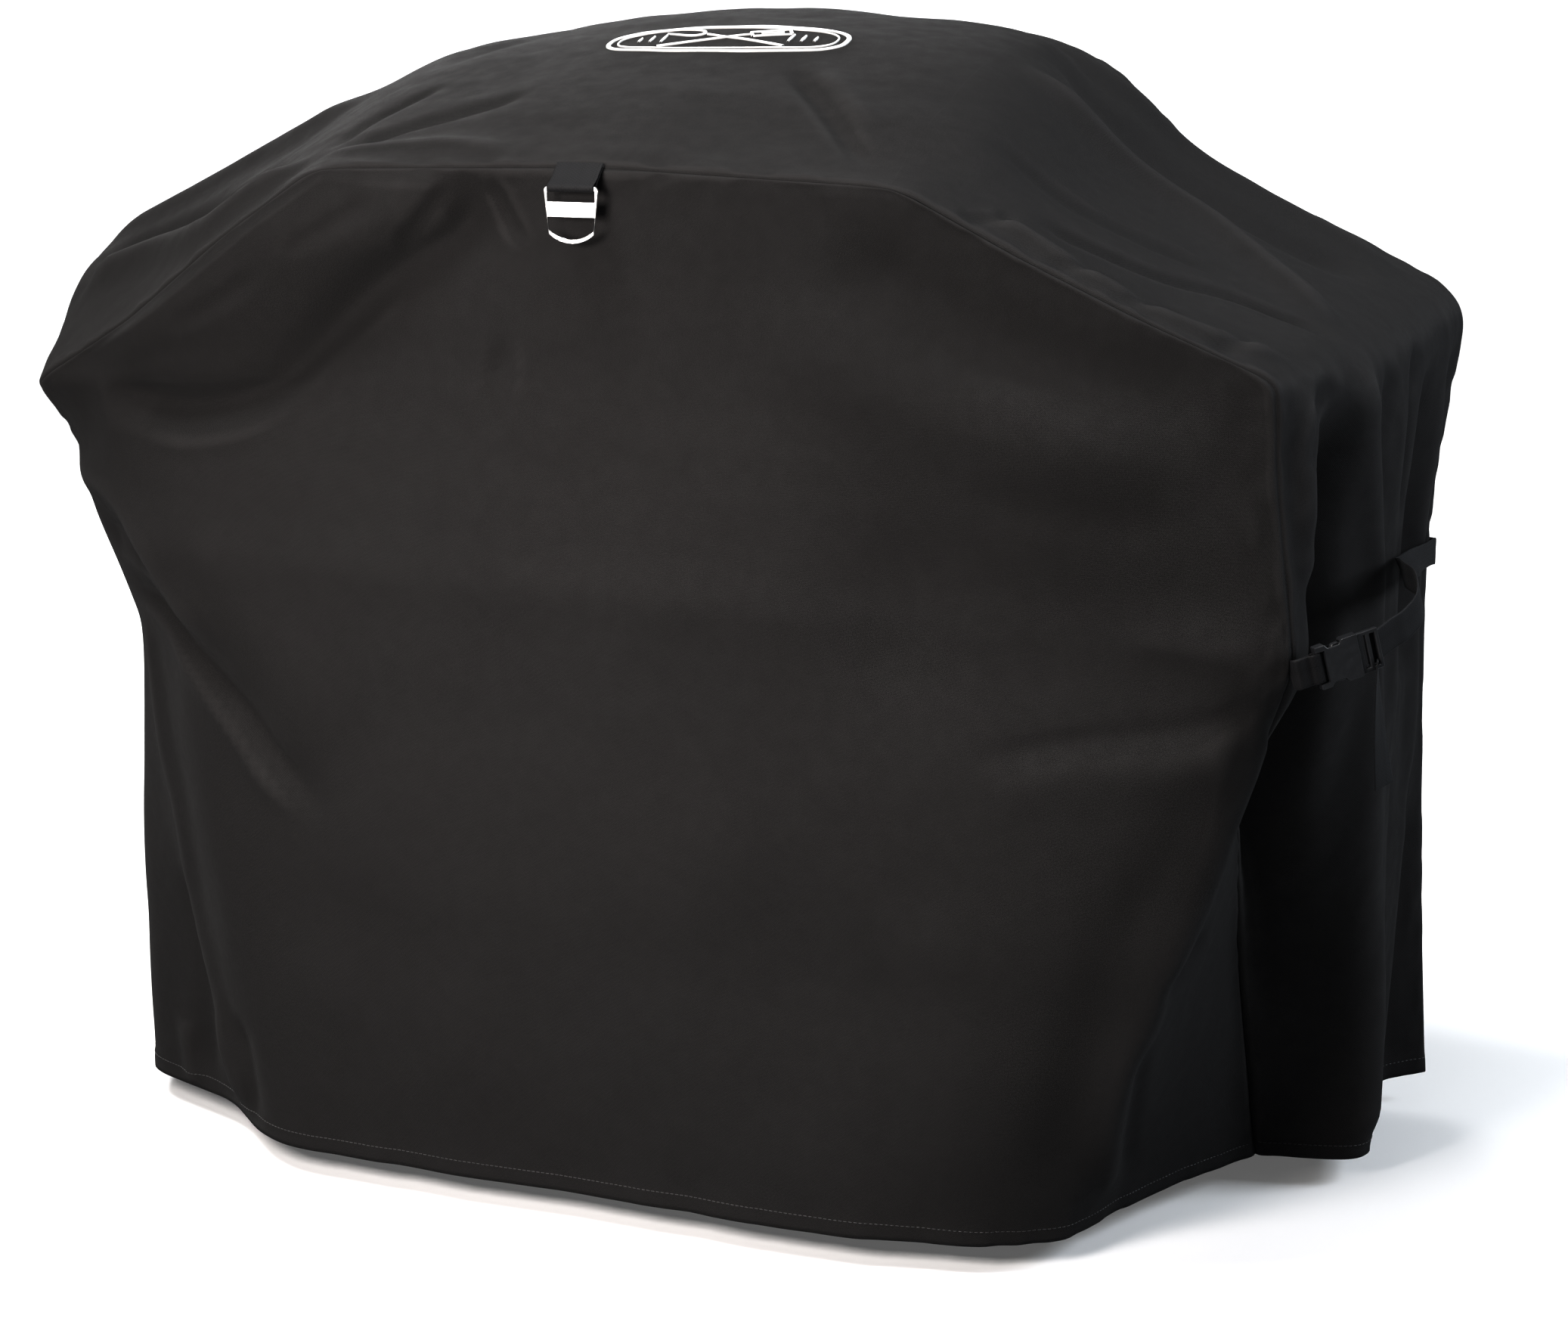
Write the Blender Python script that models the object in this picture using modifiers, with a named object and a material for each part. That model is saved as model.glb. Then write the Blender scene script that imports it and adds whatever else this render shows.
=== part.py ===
"""Draped fabric cover for a cart grill, built as its sewn pieces and its hardware.

Metres, +Z up, X across the grill, the front faces -Y.  Heights in the tables
below are measured from the hem; every point is then shifted so that the origin
lies under the top of the hood, where the cover rests on the grill's lid.
"""
import math

import bmesh
import bpy
import numpy as np
from mathutils import Matrix, Vector

COLLECTION = "grill_cover"

# ---- driving dimensions --------------------------------------------------
SEAT = Vector((0.0, 0.10, 1.028))     # lid contact under the hood, from the hem
FABRIC = 0.0015                       # coated fabric with its backing
SEAM_INSET = 0.0034                   # panel edge to seam line, leaves the tape's room
SEAM_CLEARANCE = 0.0010               # tape's half thickness and its gap to the fabric
TAPE_START = 0.0003                   # the tape's outer edge, just inside the seam line
TAPE_DEPTH = 0.012                    # seam allowance that stands inwards
TAPE_THICK = 0.0012
ROWS = 16                             # facets up each side of a panel
COLUMNS = 16                          # facets across a panel
GUSSET_COLUMNS = 8                    # facets across the gusset, front to back
DENSE = 12                            # samples between two stations while smoothing
SOFTEN = 3.0                          # rounding of the fabric over hard corners, in samples
SEAM_SOFTEN = 1.3                     # the same along the front seam, whose cord-like edge stays crisp
CREASE_REACH = 5.0                    # samples over which its corners fade into the cloth
BADGE_ALONG = (8.52, 9.32)            # stations that the badge covers
BADGE_ACROSS = (1.55, 2.20)           # and gusset columns, from the front seam
BADGE_RISE, BADGE_THICK = 0.0022, 0.0008

WEBBING_WIDTH = 0.025                 # side straps
WEBBING = 0.0014                      # webbing thickness
TAB_WIDTH = 0.041

BUCKLE_HALF = 0.018                   # half height of the buckle
BUCKLE_THICK = 0.009
PLUG_THICK = 0.0044
SOCKET_START = 0.024                  # distances along the strap from the front seam
SOCKET_END = 0.062
PLUG_END = 0.081
ARM_PIVOT = 0.0612

RING_WIDTH = 0.048
RING_HEIGHT = 0.047
RING_THICK = 0.0026
RING_CORNER = 0.0035
RING_SIDE = 0.0030                    # its side rims
RING_FOOT = 0.0048                    # and its bottom rim, with the top bar's half
RING_SLOT = (-0.0016, -0.0115)        # the webbing's slot, from the top bar's middle
RING_WINDOW_TOP = -0.0240             # lower edge of the wide bar
RING_SAG, RING_WINDOW_SAG = 0.012, 0.0085
RING_PLAY = 0.0003                    # webbing to top bar

# ---- the draped shape ----------------------------------------------------
# Stations run along the gusset: up the right side, over the hood, down the
# left side.  Each one goes from the front seam to the rear seam.
GUSSET = [
    [(0.507, 0.031, 0.000), (0.612, 0.048, 0.000), (0.592, 0.150, 0.000),
     (0.571, 0.262, 0.000), (0.624, 0.305, 0.004)],
    [(0.499, -0.040, 0.220), (0.616, 0.025, 0.215), (0.605, 0.150, 0.210),
     (0.588, 0.250, 0.205), (0.612, 0.305, 0.200)],
    [(0.523, -0.185, 0.400), (0.616, -0.030, 0.400), (0.608, 0.120, 0.400),
     (0.598, 0.240, 0.400), (0.604, 0.303, 0.400)],
    [(0.591, -0.301, 0.533), (0.614, -0.075, 0.545), (0.606, 0.080, 0.550),
     (0.598, 0.220, 0.550), (0.603, 0.300, 0.550)],
    [(0.572, -0.300, 0.690), (0.614, -0.110, 0.688), (0.620, 0.050, 0.686),
     (0.618, 0.200, 0.683), (0.618, 0.300, 0.680)],
    [(0.568, -0.300, 0.766), (0.608, -0.120, 0.770), (0.622, 0.050, 0.774),
     (0.634, 0.200, 0.776), (0.636, 0.300, 0.772)],
    [(0.456, -0.300, 0.812), (0.457, -0.150, 0.830), (0.462, 0.000, 0.845),
     (0.466, 0.150, 0.853), (0.470, 0.300, 0.848)],
    [(0.353, -0.300, 0.859), (0.355, -0.150, 0.885), (0.365, 0.000, 0.900),
     (0.375, 0.150, 0.905), (0.383, 0.300, 0.885)],
    [(0.254, -0.300, 0.909), (0.262, -0.150, 0.965), (0.268, 0.000, 1.009),
     (0.270, 0.150, 1.024), (0.267, 0.300, 1.002)],
    [(-0.005, -0.300, 0.920), (-0.008, -0.150, 0.980), (-0.015, 0.000, 1.025),
     (-0.020, 0.150, 1.042), (-0.022, 0.300, 1.012)],
    [(-0.264, -0.300, 0.912), (-0.280, -0.150, 0.955), (-0.293, 0.000, 0.990),
     (-0.300, 0.150, 1.008), (-0.306, 0.300, 0.986)],
    [(-0.366, -0.283, 0.848), (-0.395, -0.130, 0.890), (-0.425, 0.020, 0.918),
     (-0.450, 0.160, 0.932), (-0.465, 0.300, 0.926)],
    [(-0.480, -0.247, 0.768), (-0.515, -0.100, 0.830), (-0.545, 0.030, 0.858),
     (-0.575, 0.170, 0.872), (-0.595, 0.300, 0.866)],
    [(-0.604, -0.206, 0.700), (-0.638, -0.075, 0.795), (-0.665, 0.040, 0.803),
     (-0.700, 0.170, 0.808), (-0.715, 0.300, 0.800)],
    [(-0.603, -0.140, 0.645), (-0.648, -0.025, 0.670), (-0.675, 0.065, 0.690),
     (-0.700, 0.180, 0.705), (-0.705, 0.300, 0.710)],
    [(-0.605, -0.095, 0.580), (-0.640, 0.010, 0.580), (-0.660, 0.085, 0.590),
     (-0.680, 0.190, 0.595), (-0.680, 0.300, 0.600)],
    [(-0.574, -0.040, 0.460), (-0.600, 0.030, 0.455), (-0.624, 0.100, 0.450),
     (-0.645, 0.200, 0.445), (-0.648, 0.300, 0.440)],
    [(-0.592, -0.020, 0.220), (-0.612, 0.040, 0.220), (-0.616, 0.120, 0.220),
     (-0.622, 0.210, 0.215), (-0.630, 0.305, 0.210)],
    [(-0.594, -0.036, 0.000), (-0.616, 0.035, 0.000), (-0.600, 0.120, 0.000),
     (-0.602, 0.210, 0.000), (-0.622, 0.306, 0.000)],
]
RIGHT_CORNERS = (0, 5, 8)             # hem, shelf corner and hood corner stations
LEFT_CORNERS = (18, 13, 10)

# Inner points of the front panel, one row a station from the hem to the hood,
# as (x, y) from left to right; the height runs from seam to seam.
FRONT = [
    [(-0.574, -0.096), (-0.455, -0.148), (-0.380, -0.232), (-0.235, -0.253), (-0.020, -0.265),
     (0.184, -0.288), (0.320, -0.268), (0.398, -0.226), (0.424, -0.122)],
    [(-0.583, -0.094), (-0.490, -0.155), (-0.415, -0.245), (-0.240, -0.270), (-0.020, -0.278),
     (0.200, -0.290), (0.390, -0.302), (0.476, -0.286), (0.492, -0.170)],
    [(-0.566, -0.092), (-0.520, -0.150), (-0.440, -0.235), (-0.250, -0.283), (-0.010, -0.290),
     (0.240, -0.298), (0.430, -0.308), (0.537, -0.308), (0.547, -0.262)],
    [(-0.571, -0.165), (-0.500, -0.235), (-0.400, -0.276), (-0.240, -0.292), (-0.010, -0.297),
     (0.250, -0.300), (0.420, -0.306), (0.520, -0.312), (0.566, -0.312)],
    [(-0.570, -0.190), (-0.505, -0.240), (-0.410, -0.272), (-0.230, -0.290), (0.000, -0.298),
     (0.230, -0.303), (0.400, -0.308), (0.490, -0.309), (0.540, -0.305)],
    [(-0.550, -0.226), (-0.480, -0.250), (-0.370, -0.272), (-0.210, -0.288), (0.000, -0.296),
     (0.200, -0.301), (0.340, -0.304), (0.440, -0.304), (0.510, -0.302)],
    [(-0.410, -0.264), (-0.320, -0.277), (-0.220, -0.287), (-0.110, -0.293), (0.000, -0.297),
     (0.110, -0.299), (0.210, -0.300), (0.300, -0.301), (0.380, -0.301)],
    [(-0.300, -0.290), (-0.230, -0.293), (-0.155, -0.296), (-0.080, -0.298), (0.000, -0.299),
     (0.075, -0.300), (0.150, -0.300), (0.220, -0.300), (0.290, -0.300)],
    [(-0.210, -0.300), (-0.160, -0.300), (-0.108, -0.300), (-0.055, -0.300), (-0.005, -0.300),
     (0.047, -0.300), (0.098, -0.300), (0.150, -0.300), (0.202, -0.300)],
]
BACK_BULGE = [0.010, 0.012, 0.010, 0.004, 0.002, 0.000, 0.004, 0.004, 0.000]

# ---- straps ---------------------------------------------------------------
# Origin on the front seam, heading from +X towards +Y and rise, in degrees.
STRAPS = {
    "right": {"start": (0.5858, -0.3055, 0.531), "heading": 36.0, "rise": 15.0, "inward": 1.0},
    "left": {"start": (-0.5925, -0.0580, 0.480), "heading": 111.0, "rise": 0.0, "inward": -1.0},
}
# Rear webbing from the plug to the rear seam, and its width direction.
REAR_ROUTES = {
    "right": [
        ((0.6560, -0.2380, 0.5590), (-0.20, -0.15, 0.97)),
        ((0.6640, -0.2240, 0.5640), (-0.20, -0.10, 0.97)),
        ((0.6705, -0.2000, 0.5740), (-0.45, -0.10, 0.88)), ((0.6640, -0.1720, 0.5860), (-0.70, 0.10, 0.70)),
        ((0.6480, -0.1400, 0.5880), (-0.60, 0.10, 0.78)), ((0.6330, -0.0500, 0.5740), (-0.10, 0.10, 0.99)),
        ((0.6260, 0.1000, 0.5560), (0.05, 0.00, 1.00)), ((0.6180, 0.2200, 0.5400), (0.05, 0.00, 1.00)),
        ((0.6110, 0.2980, 0.5270), (0.00, 0.00, 1.00)),
    ],
    "left": [
        ((-0.6215, 0.0180, 0.4800), (0.0, 0.0, 1.0)), ((-0.6410, 0.0650, 0.4800), (0.0, 0.0, 1.0)),
        ((-0.6540, 0.1200, 0.4800), (0.0, 0.0, 1.0)), ((-0.6660, 0.1950, 0.4800), (0.0, 0.0, 1.0)),
        ((-0.6690, 0.2980, 0.4800), (0.0, 0.0, 1.0)),
    ],
}
TAIL_ALONG, TAIL_BEHIND, TAIL_BELOW = 0.0785, 0.0042, -0.0100   # its pivot, from the strap's origin
TAIL_LENGTH = {"right": 0.108, "left": 0.095}
TAIL_TWIST = {"right": 40.0, "left": 10.0}

# ---- hang tab and ring ----------------------------------------------------
TAB_ROOT = (-0.019, -0.3022, 0.9175)   # middle of the tab where it leaves the seam
TAB_DROP = 40.0                        # its lean below horizontal, in degrees
TAB_LENGTH = 0.0235                    # seam to the ring's bar
TAB_GAP = 0.0012                       # between its two layers

MATERIALS = {
    "cover_fabric": ((0.030, 0.031, 0.034, 1.0), 0.90, 0.0),
    "seam_tape": ((0.020, 0.020, 0.022, 1.0), 0.92, 0.0),
    "webbing": ((0.036, 0.037, 0.040, 1.0), 0.75, 0.0),
    "buckle_plastic": ((0.050, 0.052, 0.056, 1.0), 0.38, 0.0),
    "ring_metal": ((0.72, 0.72, 0.73, 1.0), 0.22, 1.0),
    "embroidery_thread": ((0.50, 0.51, 0.53, 1.0), 0.55, 0.0),
}


# ---- helpers ----------------------------------------------------------------
def clear_scene():
    for obj in list(bpy.data.objects):
        bpy.data.objects.remove(obj, do_unlink=True)


def get_collection(name):
    found = bpy.data.collections.get(name) or bpy.data.collections.new(name)
    if found.name not in bpy.context.scene.collection.children:
        bpy.context.scene.collection.children.link(found)
    return found


def make_material(node, slot):
    colour, roughness, metallic = MATERIALS[slot]
    material = bpy.data.materials.new(f"{node}_{slot}")
    material.use_nodes = True
    shader = material.node_tree.nodes["Principled BSDF"]
    shader.inputs["Base Color"].default_value = colour
    shader.inputs["Roughness"].default_value = roughness
    shader.inputs["Metallic"].default_value = metallic
    material.diffuse_color = colour
    return material


def add_object(name, data, slot, collection=COLLECTION):
    obj = bpy.data.objects.new(name, data)
    get_collection(collection).objects.link(obj)
    data.materials.append(make_material(name, slot))
    return obj


def rest_on(obj, matrix):
    """Place an object by a matrix that is given in hem coordinates."""
    obj.matrix_world = Matrix.Translation(-SEAT) @ matrix
    return obj


def grid_mesh(name, points, outward_from=None):
    """A sheet through a grid of points, its normals away from outward_from."""
    points = np.asarray(points)
    rows, columns = points.shape[0] - 1, points.shape[1] - 1
    bm = bmesh.new()
    bmesh.ops.create_grid(bm, x_segments=rows, y_segments=columns, size=0.5)
    for vert in bm.verts:
        row = round((vert.co.x + 0.5) * rows)
        column = round((vert.co.y + 0.5) * columns)
        vert.co = points[row, column]
    bm.normal_update()
    if outward_from is not None:
        centre = Vector(outward_from)
        facing = sum((f.normal * f.calc_area()).dot(f.calc_center_median() - centre) for f in bm.faces)
        if facing < 0:
            bmesh.ops.reverse_faces(bm, faces=bm.faces)
    mesh = bpy.data.meshes.new(name)
    bm.to_mesh(mesh)
    bm.free()
    mesh.shade_smooth()
    return mesh


def solidify(obj, thickness, offset):
    modifier = obj.modifiers.new("thickness", "SOLIDIFY")
    modifier.thickness = thickness
    modifier.offset = offset
    return obj


def bevel(obj, width, segments=2):
    modifier = obj.modifiers.new("rounded", "BEVEL")
    modifier.width = width
    modifier.segments = segments
    modifier.limit_method = "ANGLE"
    modifier.angle_limit = math.radians(40)
    modifier.harden_normals = False
    return obj


def cut(obj, cutter):
    modifier = obj.modifiers.new("cut", "BOOLEAN")
    modifier.operation = "DIFFERENCE"
    modifier.object = cutter
    return obj


def cutter_box(name, low, high, matrix):
    """A box between two corners, kept out of the render, that other pieces are cut by."""
    bm = bmesh.new()
    bmesh.ops.create_cube(bm, size=1.0)
    low, high = Vector(low), Vector(high)
    for vert in bm.verts:
        vert.co = Vector((vert.co[i] * (high[i] - low[i]) + (high[i] + low[i]) / 2 for i in range(3)))
    mesh = bpy.data.meshes.new(name)
    bm.to_mesh(mesh)
    bm.free()
    obj = bpy.data.objects.new(name, mesh)
    get_collection(COLLECTION + "_cutters").objects.link(obj)
    obj.hide_render = True
    obj.display_type = "WIRE"
    return rest_on(obj, matrix)


def outline_mesh(name, outlines, thickness):
    """A flat plate, one closed outline and its holes, extruded evenly about z = 0."""
    curve = bpy.data.curves.new(name, "CURVE")
    curve.dimensions = "2D"
    curve.fill_mode = "BOTH"
    curve.extrude = thickness / 2
    for outline in outlines:
        spline = curve.splines.new("POLY")
        spline.points.add(len(outline) - 1)
        for point, (x, y) in zip(spline.points, outline):
            point.co = (x, y, 0.0, 1.0)
        spline.use_cyclic_u = True
    holder = bpy.data.objects.new(name + "_outline", curve)
    bpy.context.scene.collection.objects.link(holder)
    bpy.context.view_layer.update()
    evaluated = holder.evaluated_get(bpy.context.evaluated_depsgraph_get())
    mesh = bpy.data.meshes.new_from_object(evaluated)
    bpy.data.objects.remove(holder, do_unlink=True)
    bpy.data.curves.remove(curve)
    bm = bmesh.new()
    bm.from_mesh(mesh)
    bmesh.ops.remove_doubles(bm, verts=bm.verts, dist=0.000001)
    bmesh.ops.recalc_face_normals(bm, faces=bm.faces)
    bm.to_mesh(mesh)
    bm.free()
    mesh.name = name
    return mesh


def arc(centre, radius, start, end, steps):
    """Points on an arc, the angles in degrees."""
    angles = np.radians(np.linspace(start, end, steps + 1))
    return [(centre[0] + radius * math.cos(a), centre[1] + radius * math.sin(a)) for a in angles]


# ---- the draped surface ------------------------------------------------------
def resample(grid, axis, steps):
    moved = np.moveaxis(grid, axis, 0)
    count = moved.shape[0]
    places = np.linspace(0, count - 1, (count - 1) * steps + 1)
    numbers = np.arange(count)
    dense = np.stack([np.interp(places, numbers, column) for column in moved.reshape(count, -1).T], axis=1)
    return np.moveaxis(dense.reshape((len(places),) + moved.shape[1:]), 0, axis)


def smooth(grid, axis, width):
    """Gaussian smoothing along one axis that keeps both ends where they are."""
    reach = int(3 * width)
    weights = np.exp(-0.5 * (np.arange(-reach, reach + 1) / width) ** 2)
    weights = weights / weights.sum()
    moved = np.moveaxis(grid, axis, 0)
    head = 2 * moved[:1] - moved[reach:0:-1]
    tail = 2 * moved[-1:] - moved[-2:-reach - 2:-1]
    padded = np.concatenate([head, moved, tail])
    result = sum(weight * padded[i:i + len(moved)] for i, weight in enumerate(weights))
    return np.moveaxis(result, 0, axis)


def soft_surface(cage):
    """The smooth surface of a cage, DENSE samples from one cage point to the next."""
    surface = np.array(cage, float)
    for axis in (0, 1):
        surface = smooth(resample(surface, axis, DENSE), axis, SOFTEN)
    return surface


def gusset_surface():
    """Soft everywhere but along the front seam, which turns its corners sharply."""
    surface = soft_surface(GUSSET)
    crisp = smooth(resample(np.array(GUSSET, float)[:, :1], 0, DENSE), 0, SEAM_SOFTEN)
    fade = np.exp(-(np.arange(surface.shape[1]) / CREASE_REACH) ** 2)
    return surface + (crisp - surface[:, :1]) * fade[None, :, None]


def panel_cage(seam, rows):
    """Cage of an end panel: its seam on both sides, and the inner points between."""
    cage = []
    for row, inner in enumerate(rows):
        left, right = seam[len(seam) - 1 - row], seam[row]
        count = len(inner) + 1
        climb = (right[2] - left[2]) / count
        middle = [(x, y, left[2] + climb * (i + 1)) for i, (x, y) in enumerate(inner)]
        cage.append([left] + middle + [right])
    return cage


def fit_to_seam(surface, seam):
    """Move a panel's edges onto the seam line that it shares with the gusset."""
    rows, columns = surface.shape[:2]
    left, right = seam[::-1][:rows], seam[:rows]
    across = np.linspace(0, 1, columns)[None, :, None]
    to_left, to_right = (left - surface[:, 0])[:, None], (right - surface[:, -1])[:, None]
    surface = surface + (1 - across) * to_left + across * to_right
    top = seam[rows - 1:len(seam) - rows + 1][::-1]
    places = np.linspace(0, len(top) - 1, columns)
    top = np.stack([np.interp(places, np.arange(len(top)), top[:, k]) for k in range(3)], axis=1)
    fade = np.clip(1 - np.arange(rows)[::-1] / (2 * DENSE), 0, 1)[:, None, None]
    return surface + fade * (top - surface[-1])[None]


def front_surface(gusset):
    seam = [station[0] for station in GUSSET]
    return fit_to_seam(soft_surface(panel_cage(seam, FRONT)), gusset[:, 0])


def back_surface(gusset):
    seam = [station[-1] for station in GUSSET]
    rows = []
    for row, bulge in enumerate(BACK_BULGE):
        left, right = np.array(seam[len(seam) - 1 - row]), np.array(seam[row])
        inner = [left + (right - left) * (i + 1) / 8 for i in range(7)]
        rows.append([(p[0], p[1] + bulge * math.sin(math.pi * (i + 1) / 8)) for i, p in enumerate(inner)])
    return fit_to_seam(soft_surface(panel_cage(seam, rows)), gusset[:, -1])


def pick(surface, rows, columns):
    """Points of a dense surface at fractional sample numbers."""
    rows, columns = np.asarray(rows, float), np.asarray(columns, float)
    below = np.floor(rows).astype(int)
    above = np.minimum(below + 1, surface.shape[0] - 1)
    share = (rows - below)[:, None, None]
    lines = surface[below] * (1 - share) + surface[above] * share
    first = np.floor(columns).astype(int)
    second = np.minimum(first + 1, surface.shape[1] - 1)
    share = (columns - first)[None, :, None]
    return lines[:, first] * (1 - share) + lines[:, second] * share


def seam_places(count):
    """Samples along the seam that every piece shares: right side, hood and left side."""
    right = np.linspace(0, RIGHT_CORNERS[-1] * DENSE, ROWS + 1)
    hood = np.linspace(RIGHT_CORNERS[-1] * DENSE, LEFT_CORNERS[-1] * DENSE, COLUMNS + 1)
    left = count - 1 - right[::-1]
    return np.concatenate([right, hood[1:], left[1:]])


def unit(vectors):
    return vectors / np.linalg.norm(vectors, axis=-1, keepdims=True)


def gusset_points(surface):
    columns = np.linspace(0, surface.shape[1] - 1, GUSSET_COLUMNS + 1)
    return pick(surface, seam_places(surface.shape[0]), columns)


def panel_points(surface):
    rows = np.linspace(0, surface.shape[0] - 1, ROWS + 1)
    return pick(surface, rows, np.linspace(0, surface.shape[1] - 1, COLUMNS + 1))


def seam_frames(gusset, panel, rear):
    """Along the seam: its points, its run, and the ways square to it into gusset and panel."""
    seam = gusset[:, -1] if rear else gusset[:, 0]
    tangent = unit(np.gradient(seam, axis=0))
    beside = gusset[:, -2] if rear else gusset[:, 1]
    inner = np.concatenate([panel[:, -2], panel[-2, ::-1][1:-1], panel[::-1, 1]])

    def square(towards):
        return unit(towards - tangent * np.sum(towards * tangent, axis=1, keepdims=True))

    return seam, tangent, square(beside - seam), square(inner - seam)


def seam_insets(frames):
    """How far both fabrics end before the seam, more where they meet at a sharp angle."""
    _, _, into_gusset, into_panel = frames
    cosine = np.clip(np.sum(into_gusset * into_panel, axis=1), -1, 1)
    half = np.arccos(cosine) / 2
    return np.maximum(SEAM_INSET, (SEAM_CLEARANCE + FABRIC * np.cos(half)) / np.sin(half))[:, None]


# ---- sewn pieces ---------------------------------------------------------------
def make_fabric(name, points, inside):
    obj = add_object(name, grid_mesh(name, points, inside), "cover_fabric")
    solidify(obj, FABRIC, -1.0)
    return rest_on(obj, Matrix())


def make_panel(name, points, frames):
    """A front or back panel, its edges drawn in from the seam."""
    seam, _, _, into_panel = frames
    edge = seam + into_panel * seam_insets(frames)
    drawn = points.copy()
    drawn[:, -1] = edge[:ROWS + 1]
    drawn[-1] = edge[ROWS:ROWS + COLUMNS + 1][::-1]
    drawn[:, 0] = edge[ROWS + COLUMNS:][::-1]
    return make_fabric(name, drawn, (0.0, 0.0, 0.5))


def make_gusset(points, front_frames, rear_frames):
    """The long strip that makes the right side, the top and the left side."""
    drawn = points.copy()
    for column, frames in ((0, front_frames), (-1, rear_frames)):
        seam, _, into_gusset, _ = frames
        drawn[:, column] = seam + into_gusset * seam_insets(frames)
    return make_fabric("gusset_panel", drawn, (0.0, 0.0, 0.3))


def make_seam_tape(name, frames, rear):
    """The folded seam allowance: a strip along the seam that stands inwards."""
    seam, tangent, into_gusset, into_panel = frames
    outward = np.cross(tangent, into_panel) + np.cross(into_gusset, tangent)
    inward = unit(outward if rear else -outward)
    points = np.stack([seam + inward * depth for depth in (TAPE_START, TAPE_DEPTH)], axis=1)
    obj = add_object(name, grid_mesh(name, points), "seam_tape")
    solidify(obj, TAPE_THICK, 0.0)
    return rest_on(obj, Matrix())


def make_badge(gusset):
    """Embroidered patch on the front slope of the hood, just above the fabric."""
    rows = np.linspace(*BADGE_ALONG, 9) * DENSE
    columns = np.linspace(*BADGE_ACROSS, 5) * DENSE
    points = pick(gusset, rows, columns)
    along, across = np.gradient(points, axis=0), np.gradient(points, axis=1)
    normal = unit(np.cross(across, along))
    normal = normal * np.sign(normal[..., 2:3])
    mesh = grid_mesh("hood_badge", points + normal * BADGE_RISE, (0.0, 0.0, 0.3))
    obj = add_object("hood_badge", mesh, "embroidery_thread")
    solidify(obj, BADGE_THICK, 1.0)
    return rest_on(obj, Matrix())


# ---- hang tab and ring ---------------------------------------------------------
def tab_matrix():
    """Local X across, local Z along the tab away from the seam."""
    drop = math.radians(TAB_DROP)
    away = Vector((0.0, -math.cos(drop), -math.sin(drop)))
    across = Vector((1.0, 0.0, 0.0))
    matrix = Matrix((across, away.cross(across), away)).transposed().to_4x4()
    matrix.translation = TAB_ROOT
    return matrix


def ring_bar_radius():
    return RING_THICK / 2 + RING_PLAY


def make_hang_tab():
    """Webbing folded round the ring's top bar, both ends in the hood seam."""
    round_bar = ring_bar_radius() + WEBBING
    fold = (WEBBING + TAB_GAP) / 2
    root, pinch = 0.0010, TAB_LENGTH * 0.70
    path = [(fold, root), (fold, pinch)]
    path += [(y, TAB_LENGTH + z) for z, y in arc((0.0, 0.0), round_bar, 100, -100, 10)]
    path += [(-fold, pinch), (-fold, root)]
    half = TAB_WIDTH / 2
    points = [[(x, y, z) for x in (-half, half)] for y, z in path]
    obj = add_object("hang_tab", grid_mesh("hang_tab", points), "webbing")
    solidify(obj, WEBBING, 0.0)
    return rest_on(obj, tab_matrix())


def ring_bottom(half, low, sag, inset, steps):
    """Rounded lower edge of the ring or its window, from its right end to its left."""
    radius = (half ** 2 + sag ** 2) / (2 * sag)
    spread = math.degrees(math.asin((half - inset) / radius))
    return arc((0.0, -low + radius), radius, -90 + spread, -90 - spread, steps)


def ring_outline():
    """Outside of the ring in its own plane, z down from the top bar's middle."""
    half, top, corner = RING_WIDTH / 2, RING_THICK / 2, RING_CORNER
    outline = arc((-half + corner, top - corner), corner, 180, 90, 4)
    outline += arc((half - corner, top - corner), corner, 90, 0, 4)
    return outline + ring_bottom(half, RING_HEIGHT - top, RING_SAG, 0.004, 12)


def ring_holes():
    """The slot for the webbing and the window, above and below the wide bar."""
    half = RING_WIDTH / 2 - RING_SIDE
    slot_top, slot_bottom = RING_SLOT
    slot = [(-half, slot_top), (half, slot_top), (half, slot_bottom), (-half, slot_bottom)]
    window = [(-half, RING_WINDOW_TOP), (half, RING_WINDOW_TOP)]
    window += ring_bottom(half, RING_HEIGHT - RING_FOOT, RING_WINDOW_SAG, 0.001, 10)
    return [slot, window]


def make_hang_ring():
    mesh = outline_mesh("hang_ring", [ring_outline()] + ring_holes(), RING_THICK)
    obj = add_object("hang_ring", mesh, "ring_metal")
    bevel(obj, 0.0004, 1)
    matrix = tab_matrix() @ Matrix.Translation((0.0, 0.0, TAB_LENGTH))
    upright = Matrix.Rotation(math.radians(90.0), 4, "X")
    upright.translation = matrix.translation
    return rest_on(obj, upright)


# ---- side straps -----------------------------------------------------------------
def strap_matrix(side):
    """Local X along the strap from the front seam, local Z up the webbing's width."""
    values = STRAPS[side]
    heading, rise = math.radians(values["heading"]), math.radians(values["rise"])
    along = Vector((math.cos(heading) * math.cos(rise), math.sin(heading) * math.cos(rise), math.sin(rise)))
    up = Vector((-math.cos(heading) * math.sin(rise), -math.sin(heading) * math.sin(rise), math.cos(rise)))
    matrix = Matrix((along, up.cross(along), up)).transposed().to_4x4()
    matrix.translation = values["start"]
    return matrix


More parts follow.
